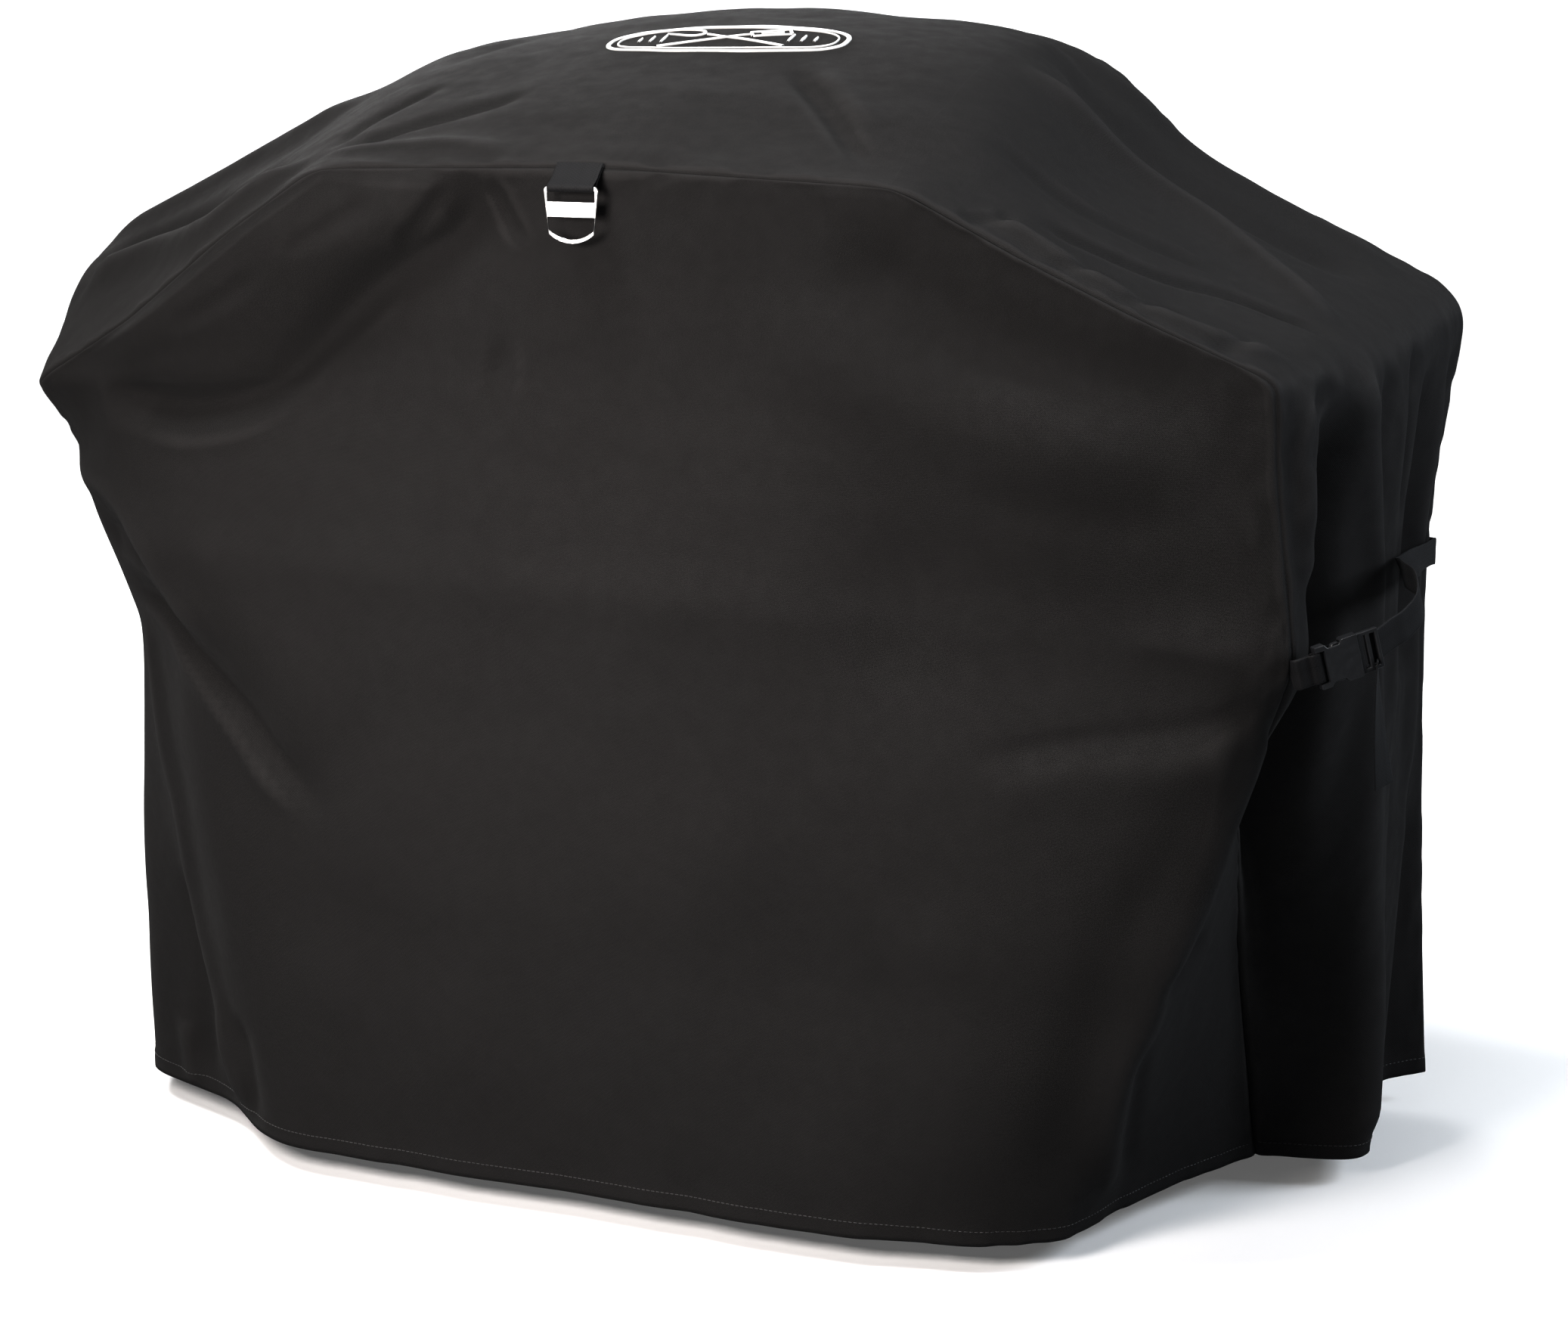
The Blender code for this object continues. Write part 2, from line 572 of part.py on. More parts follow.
def ribbon(name, centres, widths, slot="webbing"):
    """A strip of webbing through centre points, with its width direction at each."""
    half = WEBBING_WIDTH / 2
    points = [[Vector(c) - Vector(w).normalized() * half, Vector(c) + Vector(w).normalized() * half]
              for c, w in zip(centres, widths)]
    obj = add_object(name, grid_mesh(name, points), slot)
    return solidify(obj, WEBBING, 0.0)


def make_front_strap(side):
    """Webbing sewn in the front seam and folded round the socket's bar."""
    fold, bar = 0.00105, 0.0030
    path = [(0.0010, fold), (0.0190, fold), (0.0222, bar), (0.0268, bar), (0.0292, 0.0021), (0.0299, 0.0)]
    path += [(x, -y) for x, y in path[-2::-1]]
    obj = ribbon(f"{side}_front_strap", [(x, y, 0.0) for x, y in path], [(0.0, 0.0, 1.0)] * len(path))
    return rest_on(obj, strap_matrix(side))


def flat_on_strap(mesh_matrix):
    """Turn a plate drawn in X and Y so that its Y runs up the webbing's width."""
    return mesh_matrix @ Matrix.Rotation(math.radians(90.0), 4, "X")


def make_socket(side):
    """Female half of the buckle: a flat sleeve with a bar at its rear end."""
    waist = BUCKLE_HALF - 0.0035
    upper = [(SOCKET_START, BUCKLE_HALF), (0.0330, BUCKLE_HALF), (0.0355, waist), (0.0455, waist),
             (0.0480, BUCKLE_HALF), (SOCKET_END, BUCKLE_HALF)]
    outline = upper + [(x, -y) for x, y in reversed(upper)]
    name = f"{side}_buckle_socket"
    obj = add_object(name, outline_mesh(name, [outline], BUCKLE_THICK), "buckle_plastic")
    place = strap_matrix(side)
    bevel(obj, 0.0009)
    half = BUCKLE_THICK / 2 + 0.002
    inner = 0.0135
    boxes = {
        "cavity": ((0.0360, -0.0029, -0.0166), (SOCKET_END + 0.01, 0.0029, 0.0166)),
        "slot": ((0.0274, -half, -inner), (0.0318, half, inner)),
        "step_out": ((0.0200, -half, -inner), (0.0274, -0.0017, inner)),
        "step_in": ((0.0200, 0.0017, -inner), (0.0274, half, inner)),
    }
    for label, (low, high) in boxes.items():
        cut(obj, cutter_box(f"{side}_socket_{label}", low, high, place))
    return rest_on(obj, flat_on_strap(place))


def make_plug(side):
    """Male half: a ladder frame for the webbing and a middle tongue."""
    start = SOCKET_END + 0.0003
    half = BUCKLE_HALF - 0.001
    tongue = 0.0030
    outline = [(start, half), (PLUG_END, half), (PLUG_END, -half), (start, -half), (start, -tongue),
               (0.0405, -tongue), (0.0390, 0.0), (0.0405, tongue), (start, tongue)]
    opening = WEBBING_WIDTH / 2 + 0.0012
    slots = [[(x0, opening), (x1, opening), (x1, -opening), (x0, -opening)]
             for x0, x1 in ((0.0655, 0.0695), (0.0730, 0.0780))]
    name = f"{side}_buckle_plug"
    obj = add_object(name, outline_mesh(name, [outline] + slots, PLUG_THICK), "buckle_plastic")
    bevel(obj, 0.0006, 1)
    return rest_on(obj, flat_on_strap(strap_matrix(side)))


def make_arm(side, label, sign):
    """A springy side arm of the plug, its hook in the socket's side window."""
    root = (ARM_PIVOT, 0.0115)
    outer = [(0.0618, 0.0135), (0.0560, 0.0148), (0.0470, 0.0150)]
    outer += [(0.0450, 0.0162), (0.0400, 0.0156), (0.0376, 0.0120)]
    inner = [(0.0400, 0.0112), (0.0460, 0.0122), (0.0560, 0.0116), (0.0618, 0.0095)]
    points = [(x - root[0], sign * (y - root[1])) for x, y in outer + inner]
    name = f"{side}_plug_arm_{label}"
    obj = add_object(name, outline_mesh(name, [points], PLUG_THICK), "buckle_plastic")
    bevel(obj, 0.0005, 1)
    place = strap_matrix(side) @ Matrix.Translation((root[0], 0.0, sign * root[1]))
    return rest_on(obj, flat_on_strap(place))


def make_rear_strap(side):
    """Adjustable webbing from the plug to the rear seam, slack where it loops."""
    route = REAR_ROUTES[side]
    steps = 4
    centres = smooth(resample(np.array([c for c, w in route]), 0, steps), 0, 1.2)
    widths = smooth(resample(np.array([w for c, w in route]), 0, steps), 0, 1.2)
    return rest_on(ribbon(f"{side}_rear_strap", centres, widths), Matrix())


def make_strap_tail(side):
    """Free end of the rear webbing, hanging behind the plug's frame."""
    behind = STRAPS[side]["inward"] * TAIL_BEHIND
    pivot = strap_matrix(side) @ Vector((TAIL_ALONG, behind, TAIL_BELOW))
    length, twist = TAIL_LENGTH[side], math.radians(TAIL_TWIST[side])
    along = strap_matrix(side).to_3x3() @ Vector((1.0, 0.0, 0.0))
    heading = math.atan2(along.y, along.x)
    steps = 8
    centres, widths = [], []
    for step in range(steps + 1):
        share = step / steps
        angle = heading + STRAPS[side]["inward"] * twist * share
        centres.append((0.0, 0.0, -length * share))
        widths.append((math.cos(angle), math.sin(angle), -0.25 * max(0.0, share - 0.9) * 10))
    obj = ribbon(f"{side}_strap_tail", centres, widths)
    return rest_on(obj, Matrix.Translation(pivot))


def make_sewn_pieces():
    surface = gusset_surface()
    gusset = gusset_points(surface)
    front, back = panel_points(front_surface(surface)), panel_points(back_surface(surface))
    front_frames, rear_frames = seam_frames(gusset, front, False), seam_frames(gusset, back, True)
    make_gusset(gusset, front_frames, rear_frames)
    make_panel("front_panel", front, front_frames)
    make_panel("back_panel", back, rear_frames)
    make_seam_tape("front_seam_tape", front_frames, rear=False)
    make_seam_tape("rear_seam_tape", rear_frames, rear=True)
    make_badge(surface)


def build():
    clear_scene()
    make_sewn_pieces()
    make_hang_tab()
    make_hang_ring()
    for side in STRAPS:
        make_front_strap(side)
        make_socket(side)
        make_plug(side)
        make_arm(side, "upper", 1.0)
        make_arm(side, "lower", -1.0)
        make_rear_strap(side)
        make_strap_tail(side)


build()
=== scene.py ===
"""Looks of the draped grill cover: sewn panels with their folds, webbing, buckles, ring and badge.

Metres, +Z up, the front faces -Y.  The tables are in millimetres with heights
from the hem, and every point is shifted by SEAT, the place under the hood where
the cover rests on the grill, which is the origin of the CAD frame.
"""
import math

import bmesh
import bpy
import numpy as np
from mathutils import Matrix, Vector


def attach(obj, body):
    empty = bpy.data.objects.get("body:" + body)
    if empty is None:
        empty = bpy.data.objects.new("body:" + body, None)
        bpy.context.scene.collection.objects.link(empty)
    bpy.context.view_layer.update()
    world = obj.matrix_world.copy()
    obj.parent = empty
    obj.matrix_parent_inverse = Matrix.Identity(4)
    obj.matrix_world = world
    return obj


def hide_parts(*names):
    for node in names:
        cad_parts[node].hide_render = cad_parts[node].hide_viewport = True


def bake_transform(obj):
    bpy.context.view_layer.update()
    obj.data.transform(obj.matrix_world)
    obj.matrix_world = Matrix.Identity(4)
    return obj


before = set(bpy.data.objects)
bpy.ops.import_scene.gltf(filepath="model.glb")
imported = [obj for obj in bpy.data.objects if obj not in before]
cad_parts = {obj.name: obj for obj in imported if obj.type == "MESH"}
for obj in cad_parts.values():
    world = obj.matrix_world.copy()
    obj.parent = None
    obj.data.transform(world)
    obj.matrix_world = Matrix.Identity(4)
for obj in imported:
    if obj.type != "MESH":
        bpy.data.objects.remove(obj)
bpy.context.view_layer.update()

# ---- places and sizes shared with the CAD model ---------------------------
MM = 0.001
SEAT = np.array([0.0, 0.10, 1.028])
FLOOR_GAP = 0.028                      # the hem hangs this far above the floor
FABRIC, TAPE, THREAD = 0.0009, 0.0012, 0.0003
SAMPLES = 24                           # samples between two stations while smoothing
SOFTEN = 6.0                           # rounding over hard corners, in samples
SEAM_SOFTEN = 2.6                      # the same along the front seam, which stays crisp
CREASE_REACH = 10.0                    # samples over which its corners fade into the cloth
# A point inside the cover for each panel, to tell which way is out.
INSIDE = {"gusset": (0.0, 0.0, 0.3), "front": (0.0, 0.2, 0.5), "back": (0.0, 0.0, 0.5)}

# Resolution of the finished cloth.
SIDE_ROWS = 210                        # from hem to hood, up each side
TOP_COLUMNS = 180                      # across a panel, and over the hood
GUSSET_COLUMNS = 112                    # from the front seam to the rear seam

# Stations run along the gusset: up the right side, over the hood, down the
# left side.  Each one goes from the front seam to the rear seam.
GUSSET = MM * np.array([
    [(507, 31, 0), (612, 48, 0), (592, 150, 0), (571, 262, 0), (624, 305, 4)],
    [(499, -40, 220), (616, 25, 215), (605, 150, 210), (588, 250, 205), (612, 305, 200)],
    [(523, -185, 400), (616, -30, 400), (608, 120, 400), (598, 240, 400), (604, 303, 400)],
    [(591, -301, 533), (614, -75, 545), (606, 80, 550), (598, 220, 550), (603, 300, 550)],
    [(572, -300, 690), (614, -110, 688), (620, 50, 686), (618, 200, 683), (618, 300, 680)],
    [(568, -300, 766), (608, -120, 770), (622, 50, 774), (634, 200, 776), (636, 300, 772)],
    [(456, -300, 812), (457, -150, 830), (462, 0, 845), (466, 150, 853), (470, 300, 848)],
    [(353, -300, 859), (355, -150, 885), (365, 0, 900), (375, 150, 905), (383, 300, 885)],
    [(254, -300, 909), (262, -150, 965), (268, 0, 1009), (270, 150, 1024), (267, 300, 1002)],
    [(-5, -300, 920), (-8, -150, 980), (-15, 0, 1025), (-20, 150, 1042), (-22, 300, 1012)],
    [(-264, -300, 912), (-280, -150, 955), (-293, 0, 990), (-300, 150, 1008), (-306, 300, 986)],
    [(-366, -283, 848), (-395, -130, 890), (-425, 20, 918), (-450, 160, 932), (-465, 300, 926)],
    [(-480, -247, 768), (-515, -100, 830), (-545, 30, 858), (-575, 170, 872), (-595, 300, 866)],
    [(-604, -206, 700), (-638, -75, 795), (-665, 40, 803), (-700, 170, 808), (-715, 300, 800)],
    [(-603, -140, 645), (-648, -25, 670), (-675, 65, 690), (-700, 180, 705), (-705, 300, 710)],
    [(-605, -95, 580), (-640, 10, 580), (-660, 85, 590), (-680, 190, 595), (-680, 300, 600)],
    [(-574, -40, 460), (-600, 30, 455), (-624, 100, 450), (-645, 200, 445), (-648, 300, 440)],
    [(-592, -20, 220), (-612, 40, 220), (-616, 120, 220), (-622, 210, 215), (-630, 305, 210)],
    [(-594, -36, 0), (-616, 35, 0), (-600, 120, 0), (-602, 210, 0), (-622, 306, 0)],
])
HOOD_RIGHT, HOOD_LEFT = 8, 10          # hood corner stations

# Inner points of the front panel, one row a station from the hem to the hood,
# as (x, y) from left to right; the height runs from seam to seam.
FRONT = MM * np.array([
    [(-574, -96), (-455, -148), (-380, -232), (-235, -253), (-20, -265), (184, -288), (320, -268),
     (398, -226), (424, -122)],
    [(-583, -94), (-490, -155), (-415, -245), (-240, -270), (-20, -278), (200, -290), (390, -302),
     (476, -286), (492, -170)],
    [(-566, -92), (-520, -150), (-440, -235), (-250, -283), (-10, -290), (240, -298), (430, -308),
     (537, -308), (547, -262)],
    [(-571, -165), (-500, -235), (-400, -276), (-240, -292), (-10, -297), (250, -300), (420, -306),
     (520, -312), (566, -312)],
    [(-570, -190), (-505, -240), (-410, -272), (-230, -290), (0, -298), (230, -303), (400, -308),
     (490, -309), (540, -305)],
    [(-550, -226), (-480, -250), (-370, -272), (-210, -288), (0, -296), (200, -301), (340, -304),
     (440, -304), (510, -302)],
    [(-410, -264), (-320, -277), (-220, -287), (-110, -293), (0, -297), (110, -299), (210, -300),
     (300, -301), (380, -301)],
    [(-300, -290), (-230, -293), (-155, -296), (-80, -298), (0, -299), (75, -300), (150, -300),
     (220, -300), (290, -300)],
    [(-210, -300), (-160, -300), (-108, -300), (-55, -300), (-5, -300), (47, -300), (98, -300),
     (150, -300), (202, -300)],
])
BACK_BULGE = [0.010, 0.012, 0.010, 0.004, 0.002, 0.000, 0.004, 0.004, 0.000]


# ---- small functions ----------------------------------------------------------
def bell(value, width):
    return np.exp(-(value / width) ** 2)


def smoothstep(value, low, high):
    share = np.clip((value - low) / (high - low), 0, 1)
    return share * share * (3 - 2 * share)


def unit(vectors):
    return vectors / np.maximum(np.linalg.norm(vectors, axis=-1, keepdims=True), 1e-12)


def arc_length(line):
    return np.concatenate([[0], np.cumsum(np.linalg.norm(np.diff(line, axis=0), axis=1))])


def sample_columns(places, knots, columns):
    """Each column of values at its knots, read at other places."""
    return np.stack([np.interp(places, knots, column) for column in columns.T], axis=1)


# ---- the smooth draped shape --------------------------------------------------
def resample(grid, axis, steps):
    moved = np.moveaxis(grid, axis, 0)
    count = moved.shape[0]
    places = np.linspace(0, count - 1, (count - 1) * steps + 1)
    dense = sample_columns(places, np.arange(count), moved.reshape(count, -1))
    return np.moveaxis(dense.reshape((len(places),) + moved.shape[1:]), 0, axis)


def smooth(grid, axis, width):
    """Gaussian smoothing along one axis that keeps both ends where they are."""
    reach = int(3 * width)
    weights = np.exp(-0.5 * (np.arange(-reach, reach + 1) / width) ** 2)
    weights = weights / weights.sum()
    moved = np.moveaxis(grid, axis, 0)
    head = 2 * moved[:1] - moved[reach:0:-1]
    tail = 2 * moved[-1:] - moved[-2:-reach - 2:-1]
    padded = np.concatenate([head, moved, tail])
    result = sum(weight * padded[i:i + len(moved)] for i, weight in enumerate(weights))
    return np.moveaxis(result, 0, axis)


def soft_surface(cage):
    """The smooth surface of a cage, SAMPLES samples from one cage point to the next."""
    surface = np.array(cage, float)
    for axis in (0, 1):
        surface = smooth(resample(surface, axis, SAMPLES), axis, SOFTEN)
    return surface


def panel_cage(seam, rows):
    """Cage of an end panel: its seam on both sides, and the inner points between."""
    cage = []
    for row, inner in enumerate(rows):
        left, right = seam[len(seam) - 1 - row], seam[row]
        count = len(inner) + 1
        climb = (right[2] - left[2]) / count
        middle = [(x, y, left[2] + climb * (i + 1)) for i, (x, y) in enumerate(inner)]
        cage.append([left] + middle + [right])
    return cage


def fit_to_seam(surface, seam):
    """Move a panel's edges onto the seam line that it shares with the gusset."""
    rows, columns = surface.shape[:2]
    left, right = seam[::-1][:rows], seam[:rows]
    across = np.linspace(0, 1, columns)[None, :, None]
    to_left, to_right = (left - surface[:, 0])[:, None], (right - surface[:, -1])[:, None]
    surface = surface + (1 - across) * to_left + across * to_right
    top = seam[rows - 1:len(seam) - rows + 1][::-1]
    places = np.linspace(0, len(top) - 1, columns)
    top = sample_columns(places, np.arange(len(top)), top)
    fade = np.clip(1 - np.arange(rows)[::-1] / (2 * SAMPLES), 0, 1)[:, None, None]
    return surface + fade * (top - surface[-1])[None]


def gusset_surface():
    """Soft everywhere but along the front seam, which turns its corners sharply."""
    surface = soft_surface(GUSSET)
    crisp = smooth(resample(GUSSET[:, :1], 0, SAMPLES), 0, SEAM_SOFTEN)
    fade = bell(np.arange(surface.shape[1]), CREASE_REACH)
    return surface + (crisp - surface[:, :1]) * fade[None, :, None]


def front_surface(gusset):
    return fit_to_seam(soft_surface(panel_cage(GUSSET[:, 0], FRONT)), gusset[:, 0])


def back_surface(gusset):
    seam = GUSSET[:, -1]
    shares = np.arange(1, 8) / 8
    rows = []
    for row, bulge in enumerate(BACK_BULGE):
        left, right = seam[len(seam) - 1 - row], seam[row]
        inner = left + (right - left) * shares[:, None]
        rows.append(np.stack([inner[:, 0], inner[:, 1] + bulge * np.sin(math.pi * shares)], axis=1))
    return fit_to_seam(soft_surface(panel_cage(seam, rows)), gusset[:, -1])


def pick(surface, rows, columns):
    """Points of a dense surface at fractional sample numbers."""
    rows, columns = np.asarray(rows, float), np.asarray(columns, float)
    below = np.floor(rows).astype(int)
    above = np.minimum(below + 1, surface.shape[0] - 1)
    share = (rows - below)[:, None, None]
    lines = surface[below] * (1 - share) + surface[above] * share
    first = np.floor(columns).astype(int)
    second = np.minimum(first + 1, surface.shape[1] - 1)
    share = (columns - first)[None, :, None]
    return lines[:, first] * (1 - share) + lines[:, second] * share


# ---- folds -----------------------------------------------------------------------
NOISE_CELLS = 64


def normals_of(points, outside_of):
    """Unit normals of a grid of points, away from a centre."""
    normal = unit(np.cross(np.gradient(points, axis=0), np.gradient(points, axis=1)))
    away = np.sum(normal * (points - np.array(outside_of)), axis=-1).sum()
    return normal if away > 0 else -normal


def curve_through(points, steps=10):
    """A smooth line through a fold's own points (Catmull-Rom)."""
    points = np.array(points, float)
    padded = np.concatenate([2 * points[:1] - points[1:2], points, 2 * points[-1:] - points[-2:-1]])
    line = []
    for i in range(len(points) - 1):
        a, b, c, d = padded[i:i + 4]
        for t in np.linspace(0, 1, steps, endpoint=False):
            line.append(0.5 * (2 * b + (c - a) * t + (2 * a - 5 * b + 4 * c - d) * t ** 2
                               + (3 * b - a - 3 * c + d) * t ** 3))
    line.append(points[-1])
    return np.array(line)


def fold(places, path, width, height, taper, sharp=2.0, lean=0.0):
    """Height of one fold over every place.

    places are (across, up) pairs, path the fold's crest in the same plane,
    width its half width, height its rise (negative for a valley).  taper is
    the share of its length over which each end dies away, and lean makes one
    flank steeper than the other.
    """
    line = curve_through(path)
    lengths = arc_length(line)
    best = np.full(places.shape[:-1], 1e9)
    along = np.zeros_like(best)
    side = np.zeros_like(best)
    for i in range(len(line) - 1):
        start, step = line[i], line[i + 1] - line[i]
        size = float(step @ step)
        offset = places - start
        t = np.clip(offset @ step / size, 0, 1)
        gap = offset - t[..., None] * step
        distance = np.linalg.norm(gap, axis=-1)
        nearer = distance < best
        best = np.where(nearer, distance, best)
        along = np.where(nearer, lengths[i] + t * math.sqrt(size), along)
        side = np.where(nearer, np.sign(step[0] * gap[..., 1] - step[1] * gap[..., 0]), side)
    share = along / lengths[-1]
    fade = smoothstep(share, 0, taper) * smoothstep(1 - share, 0, taper)
    reach = width * (1 + lean * side)
    return height * fade * np.exp(-(best / reach) ** sharp)


def value_noise(places, cell, seed):
    """Smooth random values in -1..1 over a plane, one cell wide features."""
    grid = np.random.default_rng(seed).uniform(-1, 1, (NOISE_CELLS, NOISE_CELLS))
    spot = places / np.array(cell) + 20.0
    base = np.floor(spot).astype(int)
    part = spot - base
    part = part * part * (3 - 2 * part)
    value = 0.0
    for i in (0, 1):
        for j in (0, 1):
            weight = np.abs(1 - i - part[..., 0]) * np.abs(1 - j - part[..., 1])
            near = (base + (i, j)) % NOISE_CELLS
            value = value + weight * grid[near[..., 0], near[..., 1]]
    return value


def ripples(places, cell, height, seed):
    """Several sizes of soft unevenness."""
    total = 0.0
    for octave in range(3):
        scale = 0.5 ** octave
        total = total + height * scale * value_noise(places, np.array(cell) * scale, seed + octave)
    return total


# Each fold: path of its crest, half width, height, taper, then sharpness and lean if not plain.
# The front panel's and the sides' paths are (across, up), the top's (x, y).
FRONT_FOLDS = [
    # upper left: tension fold from the hood's seam down to the left shelf
    ([(-110, 905), (-163, 886), (-222, 860), (-281, 845), (-357, 803), (-453, 770), (-537, 741)], 46, 15,
      0.18),
    ([(-102, 916), (-133, 865), (-181, 835), (-232, 801), (-289, 749), (-339, 715), (-415, 697),
      (-524, 700)], 28, -21.5, 0.12, 1.8, 0.3),
    ([(-140, 850), (-205, 790), (-262, 745), (-330, 688), (-415, 664), (-520, 668)], 14, 5.5, 0.22),
    ([(-132, 907), (-165, 871), (-196, 838)], 7.5, -4.5, 0.3),
    ([(-103, 913), (-93, 885), (-72, 848)], 8, -4.5, 0.3),
    ([(-200, 893), (-240, 868), (-300, 838)], 9, -3.5, 0.3),
    ([(-310, 830), (-372, 792), (-430, 762)], 9, -3.5, 0.3),
    # soft upright drapes below the hood
    ([(-94, 784), (-104, 725), (-109, 673)], 12, -5, 0.35, 2, 0.4),
    ([(-72, 784), (-82, 725), (-88, 673)], 13, 3.4, 0.35),
    ([(31, 791), (11, 732), (14, 680), (16, 617)], 22, -3, 0.35),
    ([(65, 800), (48, 732), (50, 640)], 22, 2.5, 0.35),
    # upper right: broad bands from the hood towards the right shelf
    ([(180, 867), (260, 826), (360, 777), (460, 750), (530, 735)], 34, -9, 0.2),
    ([(110, 815), (170, 786), (250, 744), (350, 720), (450, 704), (540, 700)], 42, 11, 0.25),
    ([(600, 540), (450, 545), (300, 560), (160, 590)], 80, -18, 0.3),
    ([(245, 800), (330, 762), (420, 738)], 10, -2.2, 0.3),
    ([(300, 668), (400, 650), (520, 648)], 20, -3, 0.3),
    # pull of the right strap
    ([(586, 524), (546, 495), (499, 478), (404, 461), (313, 434)], 12, -4, 0.22),
    ([(586, 500), (540, 466), (490, 448), (400, 430), (320, 402)], 24, 3.4, 0.25),
    ([(580, 560), (520, 552), (440, 555)], 20, 4, 0.3),
    # right corner of the cart and the flank beyond it
    ([(590, 516), (583, 470), (564, 424), (547, 386), (532, 333), (511, 297), (490, 249), (467, 200),
      (454, 159), (448, 116), (454, 70), (460, 20)], 18, 8.5, 0.1),
    ([(578, 285), (532, 268), (503, 249), (477, 230)], 14, -6, 0.3),
    ([(475, 205), (482, 150), (492, 85), (500, 21)], 14, -6, 0.25),
    ([(534, 463), (501, 380), (455, 298), (427, 210), (408, 116), (392, 32)], 30, -5.5, 0.15),
    # left side: pull of the left strap
    ([(-590, 505), (-520, 500), (-457, 471), (-410, 439), (-377, 412), (-341, 372), (-306, 340),
      (-275, 322)], 16, -12, 0.22, 2, 0.3),
    ([(-520, 590), (-430, 560), (-330, 460), (-250, 380)], 55, 10, 0.25),
    ([(-500, 476), (-440, 440), (-395, 398), (-355, 352), (-318, 322)], 12, 4.5, 0.25),
    ([(-575, 490), (-567, 446), (-546, 356), (-515, 290), (-509, 213), (-477, 148), (-464, 95), (-434, 53),
      (-422, 0)], 20, 8, 0.1),
    ([(-640, 618), (-527, 607), (-474, 567), (-433, 515), (-390, 470)], 22, 9.5, 0.2),
    ([(-600, 560), (-530, 556), (-480, 520)], 18, -7, 0.3),
    ([(-545, 240), (-520, 160), (-520, 80), (-530, 0)], 18, -7, 0.2),
    ([(-560, 75), (-556, 40), (-552, 0)], 12, 6, 0.2),
    ([(-458, 140), (-448, 70), (-444, 0)], 10, 7, 0.3),
    ([(-425, 120), (-414, 60), (-408, 0)], 14, -8, 0.3, 2, 0.3),
    # wide, faint swells low on the front
    ([(-180, 330), (-150, 200), (-160, 40)], 50, 4, 0.3),
    ([(120, 360), (170, 220), (160, 40)], 60, -4.5, 0.3),
    ([(290, 330), (310, 180), (300, 20)], 45, 4.5, 0.25),
]
RIGHT_FOLDS = [
    # the rolled ridge and the deep shadowed valley in front of it
    ([(-101, 765), (-122, 710), (-102, 614), (-58, 475), (-17, 333), (33, 175), (54, 83), (64, 0)], 26, 12,
      0.06),
    ([(-150, 742), (-178, 700), (-196, 655), (-202, 600), (-190, 520), (-160, 400), (-90, 250),
      (-30, 120)], 33, -58, 0.16, 2.4),
    ([(-235, 760), (-252, 700), (-262, 640), (-268, 585)], 22, 10, 0.2),
    ([(-175, 759), (-238, 726), (-266, 683)], 12, -6, 0.25),
    ([(-245, 745), (-268, 700), (-272, 630)], 14, 6, 0.25),
    ([(-30, 754), (-63, 676), (-46, 608)], 14, -7, 0.25),
    ([(15, 750), (-10, 670), (10, 560), (60, 380)], 24, 8, 0.2),
    ([(79, 754), (41, 714), (58, 646), (79, 587)], 14, -8, 0.2),
    ([(120, 740), (134, 657), (161, 560), (170, 420)], 26, -20, 0.2),
    ([(190, 748), (200, 640), (215, 480), (220, 250)], 24, 10, 0.2),
    ([(290, 743), (252, 671), (257, 560), (262, 380)], 18, -8, 0.2),
    ([(110, 380), (130, 230), (140, 0)], 30, -11, 0.2),
    ([(200, 330), (215, 160), (225, 0)], 28, 10, 0.2),
    ([(268, 300), (262, 160), (260, 0)], 20, -8, 0.2),
]
LEFT_FOLDS = [
    ([(-60, 770), (-20, 620), (0, 480), (20, 300), (30, 50)], 30, -12, 0.15),
    ([(20, 780), (50, 640), (65, 470), (80, 250), (85, 0)], 26, 11, 0.12),
    ([(110, 770), (110, 640), (125, 470), (140, 230), (150, 0)], 24, -15, 0.15),
    ([(180, 780), (185, 600), (190, 400), (200, 180), (205, 0)], 22, 9, 0.12),
    ([(255, 770), (245, 600), (250, 380), (255, 100)], 22, -12, 0.2),
    ([(-20, 520), (80, 492), (190, 480), (280, 476)], 18, -6, 0.2),
]
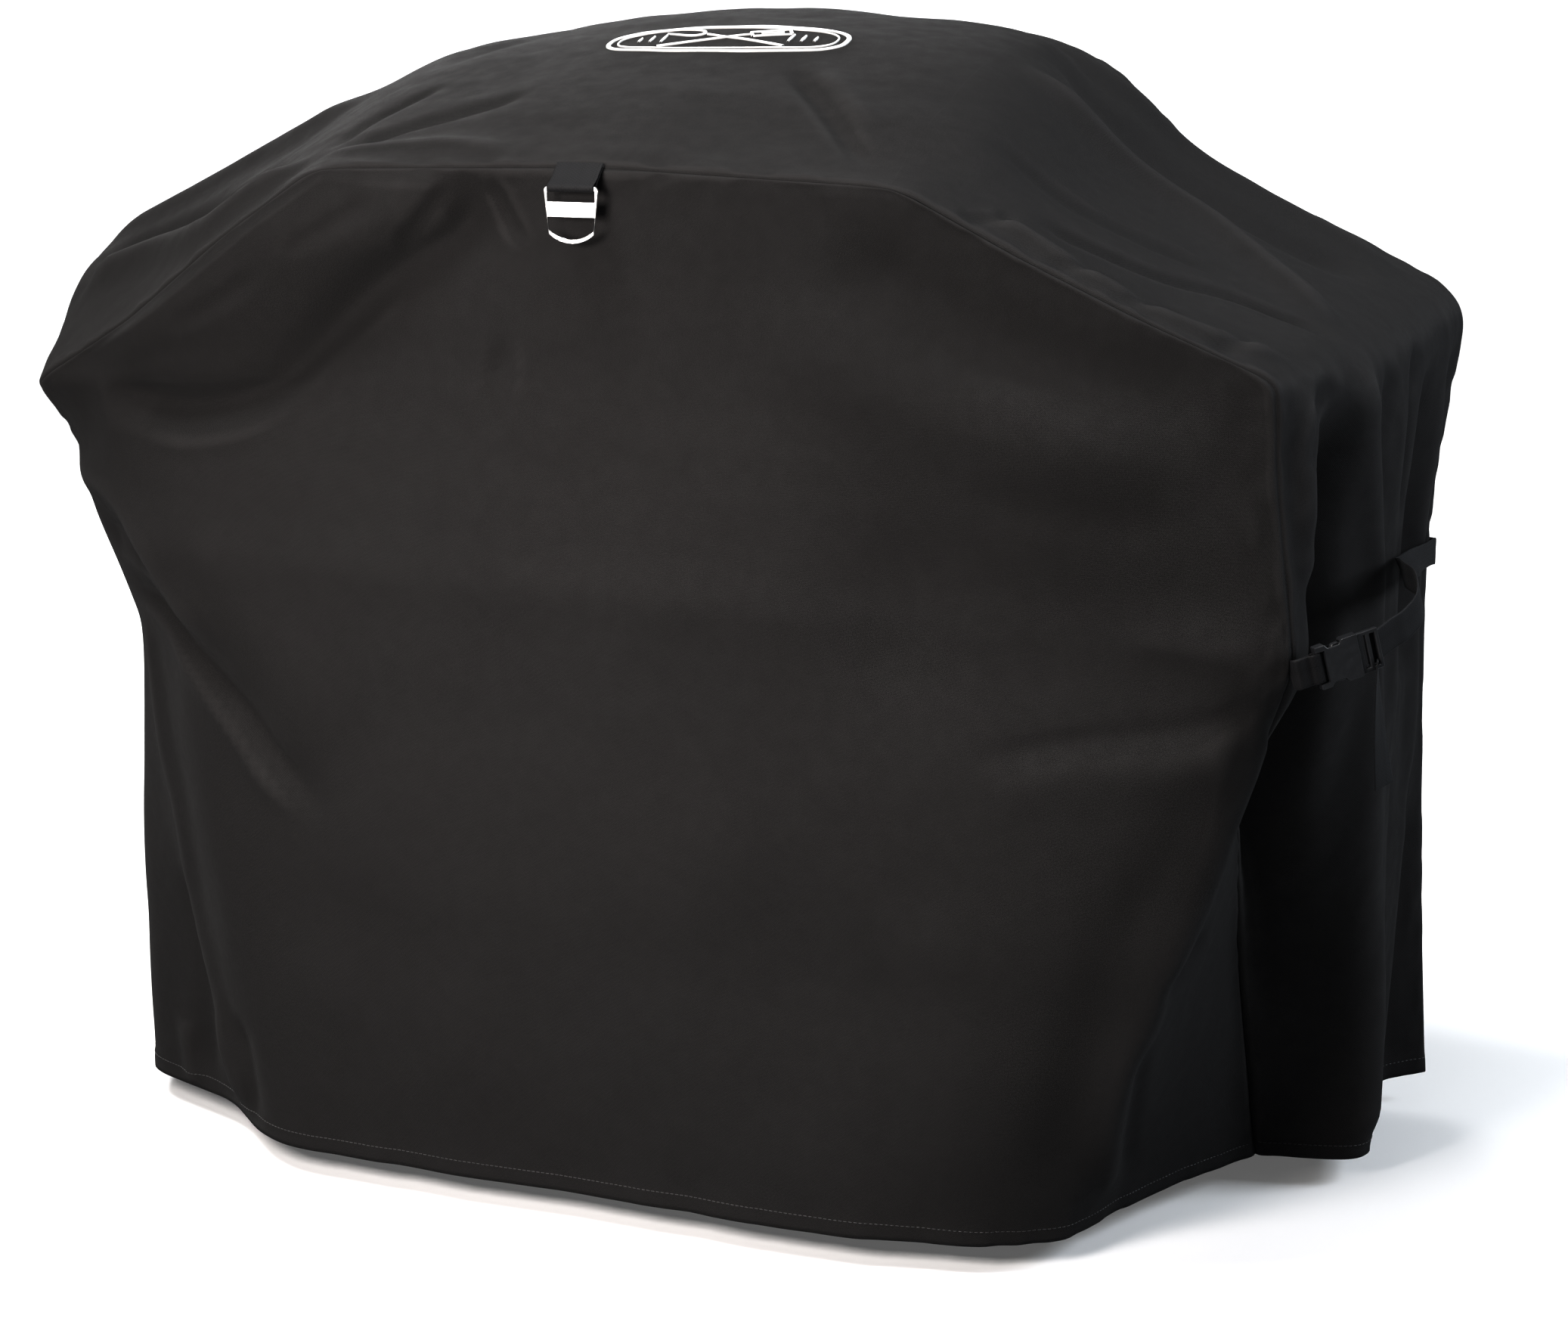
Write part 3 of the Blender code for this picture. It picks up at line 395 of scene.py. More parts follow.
TOP_FOLDS = [
    # right slope: a lit roll along the front seam, and the ridge and valley behind it
    ([(266, 8), (340, 20), (428, 20), (483, -10), (530, -45), (579, -90)], 18, 12, 0.15),
    ([(255, 105), (350, 115), (450, 125), (580, 120)], 36, -15, 0.2),
    ([(280, 210), (380, 225), (480, 225), (590, 200)], 22, 11, 0.2),
    ([(337, -219), (385, -203), (441, -179), (490, -141), (539, -124), (585, -112)], 10, -8.5, 0.18),
    ([(280, -150), (360, -140), (430, -110), (500, -80)], 12, -6, 0.25),
    ([(308, -258), (370, -266), (424, -274), (482, -272), (533, -253), (566, -225)], 14, 10, 0.15),
    ([(300, -298), (322, -270), (338, -235)], 7, -5.1, 0.2),
    ([(372, -298), (400, -268), (430, -240)], 7, -5.1, 0.2),
    ([(430, -298), (452, -270), (480, -235)], 8, -5.1, 0.2),
    ([(512, -296), (525, -262), (535, -225)], 8, -5.1, 0.2),
    # hood: small creases by its front corners and a soft facet at the right rear
    ([(80, -78), (136, -149), (187, -219), (227, -274)], 10, -5.5, 0.3),
    ([(110, -78), (160, -140), (212, -210)], 14, 3.2, 0.3),
    ([(160, 180), (240, 190), (300, 170), (340, 150)], 22, -7.5, 0.25),
    ([(-288, -223), (-279, -169), (-255, -124), (-227, -93)], 11, -5.8, 0.25),
    ([(-270, -247), (-231, -210), (-173, -180), (-118, -141)], 12, -5.8, 0.25),
    ([(-299, -250), (-216, -252), (-158, -254), (-88, -275)], 12, 4.3, 0.2),
    ([(-215, 180), (-250, 60), (-285, -40)], 30, -7.2, 0.3),
    # left slope: the roll that catches the light, and the shadow behind it
    ([(-600, -110), (-507, -135), (-440, -190), (-395, -222), (-345, -224), (-306, -236)], 20, 14.5, 0.12),
    ([(-620, -60), (-520, -85), (-440, -130), (-370, -160)], 24, -15.9, 0.2),
    ([(-350, 20), (-450, 30), (-560, 20), (-660, 20)], 32, 11.6, 0.2),
    ([(-380, 150), (-480, 150), (-600, 140), (-690, 130)], 36, -13, 0.2),
]
BACK_FOLDS = [
    # the middle hangs flat between two long drapes that fall from the hood's corners
    ([(-290, 960), (-330, 820), (-400, 560), (-440, 260), (-450, 0)], 45, 12, 0.12),
    ([(-350, 900), (-420, 740), (-500, 540), (-540, 300), (-540, 0)], 34, -12, 0.12),
    ([(260, 960), (300, 820), (370, 560), (410, 260), (420, 0)], 45, 12, 0.12),
    ([(330, 890), (400, 740), (470, 540), (510, 300), (510, 0)], 34, -12, 0.12),
    ([(-250, 930), (-120, 880), (20, 868), (140, 885), (240, 925)], 22, -6, 0.2),
    ([(-600, 770), (-480, 740), (-340, 735), (-180, 770)], 26, 7, 0.25),
    ([(560, 735), (450, 710), (320, 712), (180, 750)], 26, 7, 0.25),
    ([(-640, 480), (-520, 470), (-400, 430), (-300, 360)], 20, -8, 0.2),
    ([(600, 525), (500, 510), (400, 465), (310, 400)], 20, -8, 0.2),
    ([(-150, 640), (-180, 360), (-170, 20)], 50, 6, 0.25),
    ([(30, 700), (20, 400), (30, 60)], 40, -5, 0.3),
    ([(190, 600), (200, 340), (190, 20)], 45, 6, 0.25),
]


# ---- panels ------------------------------------------------------------------------
EDGE_STEPS = np.array([0.0, 0.0022, 0.0046, 0.0078, 0.0120, 0.0180])
FOLD_FADE = 0.030                      # folds start this far from a seam
SEAM_DIVE, SEAM_SOFT = 0.0034, 0.0030  # how far, and how wide, the stitched line is pulled in
# Small waves that the stitching leaves beside a seam, and the puff next to it.
PUCKER, PUCKER_CELL, PUCKER_REACH, PUCKER_SEED = 0.0016, (0.019, 0.015), 0.022, 31
PUFF, PUFF_PLACE, PUFF_WIDTH = 0.0005, 0.009, 0.005
# The turned-up band along the bottom edge: its stitch line is HEM_INSET below its top.
HEM_DEPTH, HEM_STEP, HEM_INSET, HEM_GROOVE = 0.018, 0.0011, 0.003, 0.0008
HEM_WAVE, HEM_WAVE_CELL, HEM_WAVE_REACH, HEM_SEED = 0.0011, (0.021, 0.060), 0.035, 47
# Stations over which the sides' folds give way to the top's.
RIGHT_TO_TOP, TOP_TO_LEFT = (4.6, 5.3), (12.7, 13.4)
# Soft unevenness: cell, height and seed.
SIDE_RIPPLES = ((0.050, 0.190), 0.0022, 11)
TOP_RIPPLES = ((0.120, 0.080), 0.0018, 23)
FRONT_RIPPLES = ((0.110, 0.160), 0.0022, 5)
BACK_RIPPLES = ((0.110, 0.160), 0.0022, 8)


def spread(count):
    """Places 0..1, closer together at both ends, where the seams are."""
    tail = 1 - EDGE_STEPS[::-1]
    middle = np.linspace(EDGE_STEPS[-1], tail[0], count + 3 - 2 * len(EDGE_STEPS))
    return np.concatenate([EDGE_STEPS, middle[1:-1], tail])


def distance_along(points, axis):
    """Distance from the first line of a grid, along one axis."""
    steps = np.linalg.norm(np.diff(points, axis=axis), axis=-1)
    zero = np.zeros_like(np.take(steps, [0], axis=axis))
    return np.concatenate([zero, np.cumsum(steps, axis=axis)], axis=axis)


def sum_of(folds, places):
    return sum(fold(places, np.array(path) * MM, width * MM, height * MM, *shape)
               for path, width, height, *shape in folds)


def make_surfaces():
    """Base grids of the three panels, sharing their seam points exactly."""
    dense = gusset_surface()
    count = dense.shape[0]
    side = spread(SIDE_ROWS) * HOOD_RIGHT * SAMPLES
    across = spread(TOP_COLUMNS)
    hood = (HOOD_RIGHT + across * (HOOD_LEFT - HOOD_RIGHT)) * SAMPLES
    rows = np.concatenate([side, hood[1:], (count - 1 - side[::-1])[1:]])
    width = dense.shape[1] - 1
    gusset = pick(dense, rows, spread(GUSSET_COLUMNS) * width)
    front_dense, back_dense = front_surface(dense), back_surface(dense)
    panels = [pick(panel, side, across * (panel.shape[1] - 1)) for panel in (front_dense, back_dense)]
    return rows / SAMPLES, gusset, *panels


def panel_places(points):
    """(across, up) of a panel: distance sideways from its middle line, and height."""
    reach = distance_along(points, 1)
    middle = points.shape[1] // 2
    across = reach - reach[:, middle:middle + 1] + points[:, middle:middle + 1, 0]
    return np.stack([across, points[..., 2]], axis=-1)


def gusset_heights(stations, points):
    side_places = points[..., 1:3]
    top_places = points[..., 0:2]
    right = 1 - smoothstep(stations[:, None], *RIGHT_TO_TOP)
    left = smoothstep(stations[:, None], *TOP_TO_LEFT)
    height = right * sum_of(RIGHT_FOLDS, side_places) + left * sum_of(LEFT_FOLDS, side_places)
    height = height + (right + left) * ripples(side_places, *SIDE_RIPPLES)
    top = sum_of(TOP_FOLDS, top_places) + ripples(top_places, *TOP_RIPPLES)
    return height + (1 - right - left) * top


def seam_normals(gusset_normals, panel_normals, rear):
    """Mean outward direction of both fabrics along a seam, in the gusset's row order."""
    column = -1 if rear else 0
    inner = np.concatenate([panel_normals[:, -1], panel_normals[-1, ::-1][1:-1], panel_normals[::-1, 0]])
    return unit(gusset_normals[:, column] + inner)


def dive(points, seam_distance, towards):
    """Pull a fabric in along its seam."""
    return points - towards * (SEAM_DIVE * bell(seam_distance, SEAM_SOFT))[..., None]


def finish_panel(points, normals, heights, seams):
    """Raise a panel by its folds, away from its seams.

    seams is a list of (distance of every point from that seam, the seam's
    outward directions).
    """
    nearest = np.min([distance for distance, _ in seams], axis=0)
    x, y, z = np.moveaxis(points, -1, 0)
    spots = np.stack([x + 0.8 * y, z - 0.6 * y], axis=-1)
    pucker = PUCKER * value_noise(spots, PUCKER_CELL, PUCKER_SEED) * bell(nearest, PUCKER_REACH)
    rise = heights * smoothstep(nearest, 0.0, FOLD_FADE) + pucker * smoothstep(nearest, 0.001, 0.008)
    rise = rise + PUFF * bell(nearest - PUFF_PLACE, PUFF_WIDTH)
    result = points + normals * rise[..., None]
    for distance, towards in seams:
        result = dive(result, distance, towards)
    return result


def hem_band(points, normals):
    """Thicken the lowest band, by the first row, where the cloth is turned up and stitched."""
    up = distance_along(points, 0)
    step = HEM_STEP * (1 - smoothstep(up, HEM_DEPTH - 0.002, HEM_DEPTH + 0.002))
    groove = HEM_GROOVE * bell(up - HEM_DEPTH + HEM_INSET, HEM_INSET / 2)
    spots = np.stack([points[..., 0] + points[..., 1], up], axis=-1)
    wave = HEM_WAVE * value_noise(spots, HEM_WAVE_CELL, HEM_SEED) * bell(up, HEM_WAVE_REACH)
    return points + normals * (step - groove + wave)[..., None]


def shape_gusset(stations, gusset, normals, front_out, back_out):
    reach = distance_along(gusset, 1)
    shaped = finish_panel(gusset, normals, gusset_heights(stations, gusset), [
        (reach, front_out[:, None]), (reach[:, -1:] - reach, back_out[:, None])])
    half = gusset.shape[0] // 2
    right = hem_band(shaped[:half], normals[:half])
    left = hem_band(shaped[half:][::-1], normals[half:][::-1])[::-1]
    return np.concatenate([right, left])


def shape_panel(points, normals, outward, folds, uneven):
    """The front or back panel; outward runs along its seam in the gusset's row order."""
    rows = points.shape[0]
    across, up = distance_along(points, 1), distance_along(points, 0)
    right, left = outward[:rows], outward[::-1][:rows]
    top = outward[rows - 1:len(outward) - rows + 1][::-1]
    places = panel_places(points)
    heights = sum_of(folds, places) + ripples(places, *uneven)
    shaped = finish_panel(points, normals, heights, [
        (across, left[:, None]), (across[:, -1:] - across, right[:, None]), (up[-1:] - up, top[None])])
    return hem_band(shaped, normals)


def make_panels():
    stations, gusset, front, back = make_surfaces()
    gusset_n, front_n, back_n = (
        normals_of(points, INSIDE[part])
        for part, points in (("gusset", gusset), ("front", front), ("back", back)))
    front_out = seam_normals(gusset_n, front_n, rear=False)
    back_out = seam_normals(gusset_n, back_n, rear=True)
    return {
        "stations": stations, "front_out": front_out, "back_out": back_out,
        "gusset": shape_gusset(stations, gusset, gusset_n, front_out, back_out),
        "front": shape_panel(front, front_n, front_out, FRONT_FOLDS, FRONT_RIPPLES),
        "back": shape_panel(back, back_n, back_out, BACK_FOLDS, BACK_RIPPLES),
    }


# ---- meshes ----------------------------------------------------------------------
def new_piece(name, mesh, material, body):
    obj = bpy.data.objects.new(name, mesh)
    bpy.context.scene.collection.objects.link(obj)
    mesh.materials.append(material)
    if body:
        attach(obj, body)
    return obj


def smooth_mesh(name, verts, faces, uv=None):
    mesh = bpy.data.meshes.new(name)
    mesh.from_pydata(verts, [], faces)
    if uv is not None:
        corners = np.array(faces).reshape(-1)
        mesh.uv_layers.new(name="cloth").data.foreach_set("uv", np.array(uv)[corners].reshape(-1))
    mesh.polygons.foreach_set("use_smooth", [True] * len(mesh.polygons))
    mesh.update()
    return mesh


def grid_quads(rows, columns, closed_across=False):
    index = np.arange(rows * columns).reshape(rows, columns)
    if closed_across:
        index = np.concatenate([index, index[:, :1]], axis=1)
    corners = [index[:-1, :-1], index[:-1, 1:], index[1:, 1:], index[1:, :-1]]
    return np.stack(corners, axis=-1).reshape(-1, 4)


def thicken(obj, thickness, offset):
    modifier = obj.modifiers.new("thickness", "SOLIDIFY")
    modifier.thickness = thickness
    modifier.offset = offset


def grid_mesh(name, points, uv, closed_across=False, outside_of=None):
    """A mesh through a grid of points, with a UV map in metres."""
    quads = grid_quads(*points.shape[:2], closed_across)
    flat = points.reshape(-1, 3)
    if outside_of is not None:
        corners = flat[quads]
        normal = np.cross(corners[:, 2] - corners[:, 0], corners[:, 3] - corners[:, 1])
        if np.sum(normal * (corners.mean(axis=1) - np.array(outside_of))) < 0:
            quads = quads[:, ::-1]
    return smooth_mesh(name, flat.tolist(), quads.tolist(), uv.reshape(-1, 2))


def metric_uv(points):
    """Distances across and up a grid of cloth, for a weave at its real size."""
    across, up = distance_along(points, 1), distance_along(points, 0)
    middle = points.shape[1] // 2
    height = np.broadcast_to(up.mean(axis=1, keepdims=True), up.shape)
    return np.stack([across - across[:, middle:middle + 1], height], axis=-1)


def face_values(mesh, name, values):
    """Store one number a point, such as how far the cloth bends outwards there."""
    attribute = mesh.attributes.new(name, "FLOAT", "POINT")
    attribute.data.foreach_set("value", np.asarray(values, float).reshape(-1))


def crest_of(points, normals):
    """How much the cloth bends outwards at each point, -1..1."""
    bend = np.zeros(points.shape[:2])
    for axis in (0, 1):
        first = np.gradient(points, axis=axis)
        second = np.gradient(first, axis=axis)
        length = np.sum(first ** 2, axis=-1) + 1e-9
        bend -= np.sum(second * normals, axis=-1) / length
    return np.clip(bend * 0.02, -1, 1)


def sheet_piece(name, points, centre, material):
    mesh = grid_mesh(name, points - SEAT, metric_uv(points), outside_of=np.array(centre) - SEAT)
    # how far the cloth bends outwards, which the fabric paints paler as a highlight on its fold crests
    face_values(mesh, "crest", crest_of(points, normals_of(points, centre)))
    obj = new_piece(name, mesh, material, "cover")
    thicken(obj, FABRIC, -1.0)
    return obj


# ---- materials ---------------------------------------------------------------------
class Nodes:
    """Short ways to add and join shader nodes in one material."""

    def __init__(self, name):
        self.material = bpy.data.materials.new(name)
        self.material.use_nodes = True
        self.tree = self.material.node_tree
        self.shader = self.tree.nodes["Principled BSDF"]

    def add(self, kind, inputs=(), **settings):
        node = self.tree.nodes.new(kind)
        for key, value in settings.items():
            setattr(node, key, value)
        for key, value in dict(inputs).items():
            self.set(node.inputs[key], value)
        return node

    def set(self, socket, value):
        if isinstance(value, bpy.types.NodeSocket):
            self.tree.links.new(value, socket)
        elif isinstance(value, bpy.types.Node):
            self.tree.links.new(value.outputs[0], socket)
        else:
            socket.default_value = value

    def cloth(self):
        return self.add("ShaderNodeUVMap", uv_map="cloth").outputs["UV"]

    def place(self):
        return self.add("ShaderNodeTexCoord").outputs["Object"]

    def crest(self):
        return self.add("ShaderNodeAttribute", attribute_name="crest").outputs["Fac"]

    def vector_math(self, operation, *vectors):
        node = self.add("ShaderNodeVectorMath", dict(enumerate(vectors)), operation=operation)
        return node.outputs["Value"]

    def math(self, operation, *values):
        return self.add("ShaderNodeMath", dict(enumerate(values)), operation=operation).outputs[0]

    def fixed(self, **values):
        for key, value in values.items():
            self.shader.inputs[key.replace("_", " ")].default_value = value

    def noise(self, vector, scale, detail=2.0, roughness=0.5):
        inputs = {"Vector": vector, "Scale": scale, "Detail": detail, "Roughness": roughness}
        return self.add("ShaderNodeTexNoise", inputs).outputs["Fac"]

    def ramp(self, value, low, high, to_low=0.0, to_high=1.0):
        inputs = {"Value": value, "From Min": low, "From Max": high, "To Min": to_low, "To Max": to_high}
        return self.add("ShaderNodeMapRange", inputs).outputs["Result"]

    def mix(self, share, first, second):
        node = self.add("ShaderNodeMix", data_type="RGBA")
        for socket, value in ((node.inputs[0], share), (node.inputs[6], first), (node.inputs[7], second)):
            self.set(socket, value)
        return node.outputs[2]

    def stripes(self, vector, direction, pitch):
        """0..1 waves across a direction, pitch metres apart."""
        dot = self.vector_math("DOT_PRODUCT", vector, direction)
        wave = self.math("SINE", self.math("MULTIPLY", dot, 2 * math.pi / pitch))
        return self.math("MULTIPLY_ADD", wave, 0.5, 0.5)

    def bump(self, height, distance, strength=1.0, below=None):
        inputs = {"Height": height, "Distance": distance, "Strength": strength}
        if below is not None:
            inputs["Normal"] = below
        return self.add("ShaderNodeBump", inputs).outputs["Normal"]

    def finish(self, colour, roughness, normal):
        self.set(self.shader.inputs["Base Color"], colour)
        self.set(self.shader.inputs["Roughness"], roughness)
        self.set(self.shader.inputs["Normal"], normal)
        return self.material


def cover_fabric():
    """Black-grey coated polyester in a fine diagonal twill, with painted shade in the twill's grooves and
    painted highlight on the crests of its folds.
    """
    n = Nodes("cover_fabric")
    cloth = n.cloth()
    place = n.place()
    twill = n.stripes(cloth, (1.0, 1.0, 0.0), 0.0016)
    weft = n.stripes(cloth, (0.0, 1.0, 0.0), 0.0009)
    weave = n.math("MULTIPLY_ADD", weft, 0.35, n.math("MULTIPLY", twill, 0.65))
    slub = n.noise(cloth, 900.0, 2.0)
    cloud = n.noise(place, 5.0, 3.0, 0.55)
    crest = n.crest()
    dark, plain = (0.0060, 0.0058, 0.0058, 1), (0.0165, 0.0157, 0.0155, 1)
    pale, clouded = (0.034, 0.0325, 0.0322, 1), (0.019, 0.0182, 0.0180, 1)
    # painted shade: darker in the weave's grooves, where its bump is low
    colour = n.mix(n.ramp(weave, 0.1, 0.9), dark, plain)
    colour = n.mix(n.ramp(slub, 0.38, 0.78, 0.0, 0.55), colour, pale)
    # painted highlight: paler where the cloth bends outwards, along the crests of its folds
    colour = n.mix(n.ramp(crest, 0.25, 1.0, 0.0, 0.35), colour, pale)
    colour = n.mix(n.ramp(cloud, 0.40, 0.68, 0.0, 0.22), colour, clouded)
    roughness = n.ramp(n.noise(place, 60.0, 3.0), 0.3, 0.7, 0.74, 0.86)
    normal = n.bump(n.noise(place, 42.0, 3.0, 0.6), 0.0010, 0.35)
    normal = n.bump(weave, 0.00020, 1.0, normal)
    n.fixed(Sheen_Weight=0.02, Sheen_Roughness=0.45, Specular_IOR_Level=0.14)
    return n.finish(colour, roughness, normal)


def plain_tape():
    n = Nodes("seam_tape")
    place = n.place()
    rib = n.stripes(place, (700.0, 700.0, 1200.0), 1.0)
    # painted shade: darker in the grooves between the tape's ribs
    colour = n.mix(rib, (0.012, 0.012, 0.013, 1), (0.024, 0.024, 0.026, 1))
    n.fixed(Sheen_Weight=0.1)
    return n.finish(colour, 0.9, n.bump(rib, 0.0002, 0.6))


def webbing_material():
    """Ribbed polypropylene webbing with painted shade in the hollows between its ribs; its ribs are also
    in the mesh.
    """
    n = Nodes("webbing")
    cloth = n.cloth()
    thread = n.stripes(cloth, (1.0, 0.0, 0.0), 0.00045)
    rib = n.crest()
    fuzz = n.noise(cloth, 2600.0, 2.0)
    dark, pale = (0.0016, 0.0016, 0.0020, 1), (0.0105, 0.0105, 0.0115, 1)
    # painted shade: darker in the mesh's hollows between the ribs, paler on their tops
    colour = n.mix(n.ramp(rib, 0.1, 0.9), dark, pale)
    colour = n.mix(n.ramp(fuzz, 0.45, 0.8, 0.0, 0.5), colour, (0.019, 0.019, 0.0205, 1))
    n.fixed(Sheen_Weight=0.02, Sheen_Roughness=0.4, Specular_IOR_Level=0.22)
    return n.finish(colour, 0.62, n.bump(thread, 0.00008, 0.7))


def buckle_plastic():
    n = Nodes("buckle_plastic")
    place = n.place()
    grain = n.noise(place, 2600.0, 2.0)
    scuff = n.noise(place, 160.0, 4.0, 0.65)
    dark, pale = (0.015, 0.0155, 0.017, 1), (0.023, 0.024, 0.0265, 1)
    colour = n.mix(n.ramp(scuff, 0.45, 0.75, 0.0, 0.6), dark, pale)
    roughness = n.ramp(scuff, 0.3, 0.7, 0.30, 0.44)
    n.fixed(Specular_IOR_Level=0.5, Coat_Weight=0.05)
    return n.finish(colour, roughness, n.bump(grain, 0.00006, 0.5))


def ring_metal():
    n = Nodes("ring_metal")
    place = n.place()
    stretched = n.add("ShaderNodeMapping", {"Vector": place, "Scale": (30.0, 400.0, 900.0)})
    brushed = n.noise(stretched.outputs[0], 6.0, 3.0)
    spots = n.noise(place, 240.0, 3.0)
    colour = n.mix(n.ramp(spots, 0.5, 0.8, 0.0, 0.4), (0.86, 0.86, 0.85, 1), (0.66, 0.65, 0.63, 1))
    n.fixed(Metallic=1.0)
    return n.finish(colour, n.ramp(brushed, 0.3, 0.7, 0.16, 0.30), n.bump(brushed, 0.00003, 0.4))


def thread_material(name, colour, dark):
    """Satin thread in close parallel strands, along each piece's second UV axis, with painted shade
    between the strands.
    """
    n = Nodes(name)
    cloth = n.cloth()
    strand = n.stripes(cloth, (1.0, 0.0, 0.0), 0.0005)
    uneven = n.noise(cloth, 1400.0, 2.0)
    # painted shade: darker in the gaps between strands
    shade = n.mix(n.ramp(strand, 0.0, 0.7), dark, colour)
    shade = n.mix(n.ramp(uneven, 0.5, 0.8, 0.0, 0.3), shade, dark)
    n.fixed(Sheen_Weight=0.3, Anisotropic=0.4, Specular_IOR_Level=0.6)
    return n.finish(shade, 0.42, n.bump(strand, 0.00012, 0.8))


# ---- webbing, stitches and embroidery -----------------------------------------------
WEBBING_WIDTH, WEBBING = 0.025, 0.0014
RIB_ACROSS, RIB_ALONG, RIB_HEIGHT, LEAST_HALF = 0.0019, 0.0030, 0.00030, 0.00012
STITCH_PITCH, STITCH_LENGTH, STITCH_RADIUS = 0.0046, 0.0034, 0.00042
STITCH_SIDES = 6
ALLOWANCE = np.array([0.0006, 0.0030, 0.0060, 0.0090, 0.0115])   # rows of a seam's raw edges
STITCH_SECTIONS = ((0.0, 0.35), (0.2, 1.0), (0.8, 1.0), (1.0, 0.35))   # (share of its length, size)


def even_line(points, step):
    """Points a fixed step apart along a smooth curve through the given ones."""
    line = curve_through(points, 14)
    length = arc_length(line)
    places = np.linspace(0, length[-1], max(2, int(round(length[-1] / step)) + 1))
    return sample_columns(places, length, line), places / length[-1]


def woven_band(name, path, widths, width, material, body, thick=WEBBING, step=0.0008,
               across_step=0.0009):
    """Webbing swept along a path: a flat oval section with over-and-under ribs."""
    centre, share = even_line(path, step)
    across = unit(sample_columns(share, np.linspace(0, 1, len(widths)), np.array(widths, float)))
    tangent = unit(np.gradient(centre, axis=0))
    across = unit(across - tangent * np.sum(across * tangent, axis=1, keepdims=True))
    normal = np.cross(tangent, across)
    side_count = int(round(width / across_step))
    place = np.linspace(-width / 2, width / 2, side_count + 1)
    near_edge = np.clip((np.abs(place) - width / 2 + thick) / thick, 0, 1)
    round_edge = np.sqrt(np.clip(1 - near_edge ** 2, 0.02, 1))
    along = share * arc_length(centre)[-1]
    rib = np.floor((place + width / 2) / RIB_ACROSS)
    over = 0.5 + 0.5 * np.cos(2 * math.pi * along[:, None] / RIB_ALONG + math.pi * rib[None])
    valley = np.abs(np.sin(math.pi * (place + width / 2) / RIB_ACROSS))[None] ** 0.6
    weave = valley * (0.35 + 0.65 * over)
    half = thick / 2 * round_edge[None] - RIB_HEIGHT * (1 - weave)
    rise = normal[:, None] * np.maximum(half, LEAST_HALF)[..., None]
    middle = centre[:, None] + across[:, None] * place[None, :, None]
    ring = np.concatenate([middle + rise, (middle - rise)[:, ::-1]], axis=1)
    # the weave's height, which the webbing paints darker in its hollows as shade
    crest = np.concatenate([weave, weave[:, ::-1]], axis=1)
    sideways = np.concatenate([place, place[::-1]])
    uv = np.stack(np.broadcast_arrays(along[:, None], sideways[None]), axis=-1)
    mesh = grid_mesh(name, ring - SEAT, uv, closed_across=True)
    face_values(mesh, "crest", crest)
    close_ends(mesh, *ring.shape[:2])
    return new_piece(name, mesh, material, body)


def close_ends(mesh, rows, columns):
    """Cap both ends of a swept tube with strips between its two broad sides."""
    bm = bmesh.new()
    bm.from_mesh(mesh)
    bm.verts.ensure_lookup_table()
    for first in (0, (rows - 1) * columns):
        for i in range(columns // 2 - 1):
            corners = [first + i, first + i + 1, first + columns - 2 - i, first + columns - 1 - i]
            bm.faces.new([bm.verts[c] for c in corners])
    bmesh.ops.recalc_face_normals(bm, faces=bm.faces)
    bm.to_mesh(mesh)
    bm.free()


def stitch_row(name, centre, outward, material):
    """A row of short raised stitches along a line of points on the cloth."""
    total = arc_length(centre)
    starts = np.arange(STITCH_PITCH / 2, total[-1] - STITCH_LENGTH, STITCH_PITCH)
    angles = np.linspace(0, 2 * math.pi, STITCH_SIDES, endpoint=False)
    around = np.arange(STITCH_SIDES)
    verts, faces = [], []
    for start in starts:
        first, last = sample_columns((start, start + STITCH_LENGTH), total, centre)
        up = unit(sample_columns((start,), total, outward)[0])
        side = np.cross(unit(last - first), up)
        ring = side * np.cos(angles)[:, None] + up * np.sin(angles)[:, None]
        base = len(verts)
        for share, size in STITCH_SECTIONS:
            middle = first + (last - first) * share + up * (STITCH_RADIUS * (size - 0.6))
            verts += (middle + ring * STITCH_RADIUS * size - SEAT).tolist()
        for section in range(len(STITCH_SECTIONS) - 1):
            a, b = base + section * STITCH_SIDES, base + (section + 1) * STITCH_SIDES
            after = np.roll(around, -1)
            faces += np.stack([a + around, a + after, b + after, b + around], axis=1).tolist()
        faces.append((base + around[::-1]).tolist())
        faces.append((b + around).tolist())
    return new_piece(name, smooth_mesh(name, verts, faces), material, "cover")


# ---- hang tab, straps and embroidery ---------------------------------------------------
TAB_WIDTH, TAB_LENGTH, TAB_DROP = 0.041, 0.0235, 40.0
TAB_ROOT = (-0.019, -0.3022, 0.9175)
TAB_ROUND = 0.0030                     # bend of the tab's middle layer round the ring's bar
TAB_GAP, TAB_ENDS = 0.0013, -0.0045    # half gap between its two layers, and how deep they end
TAB_THICK, TAB_STEP = 0.0013, 0.0006
STRAPS = {
    "right": {"start": (0.5858, -0.3055, 0.531), "heading": 36.0, "rise": 15.0, "inward": 1.0,
              "tail": 0.108, "turn": 66.0, "twist": -40.0, "drift": np.array((0.008, 0.010))},
    "left": {"start": (-0.5925, -0.0580, 0.480), "heading": 111.0, "rise": 0.0, "inward": -1.0,
             "tail": 0.095, "turn": 0.0, "twist": -10.0, "drift": np.array((-0.003, 0.004))},
}
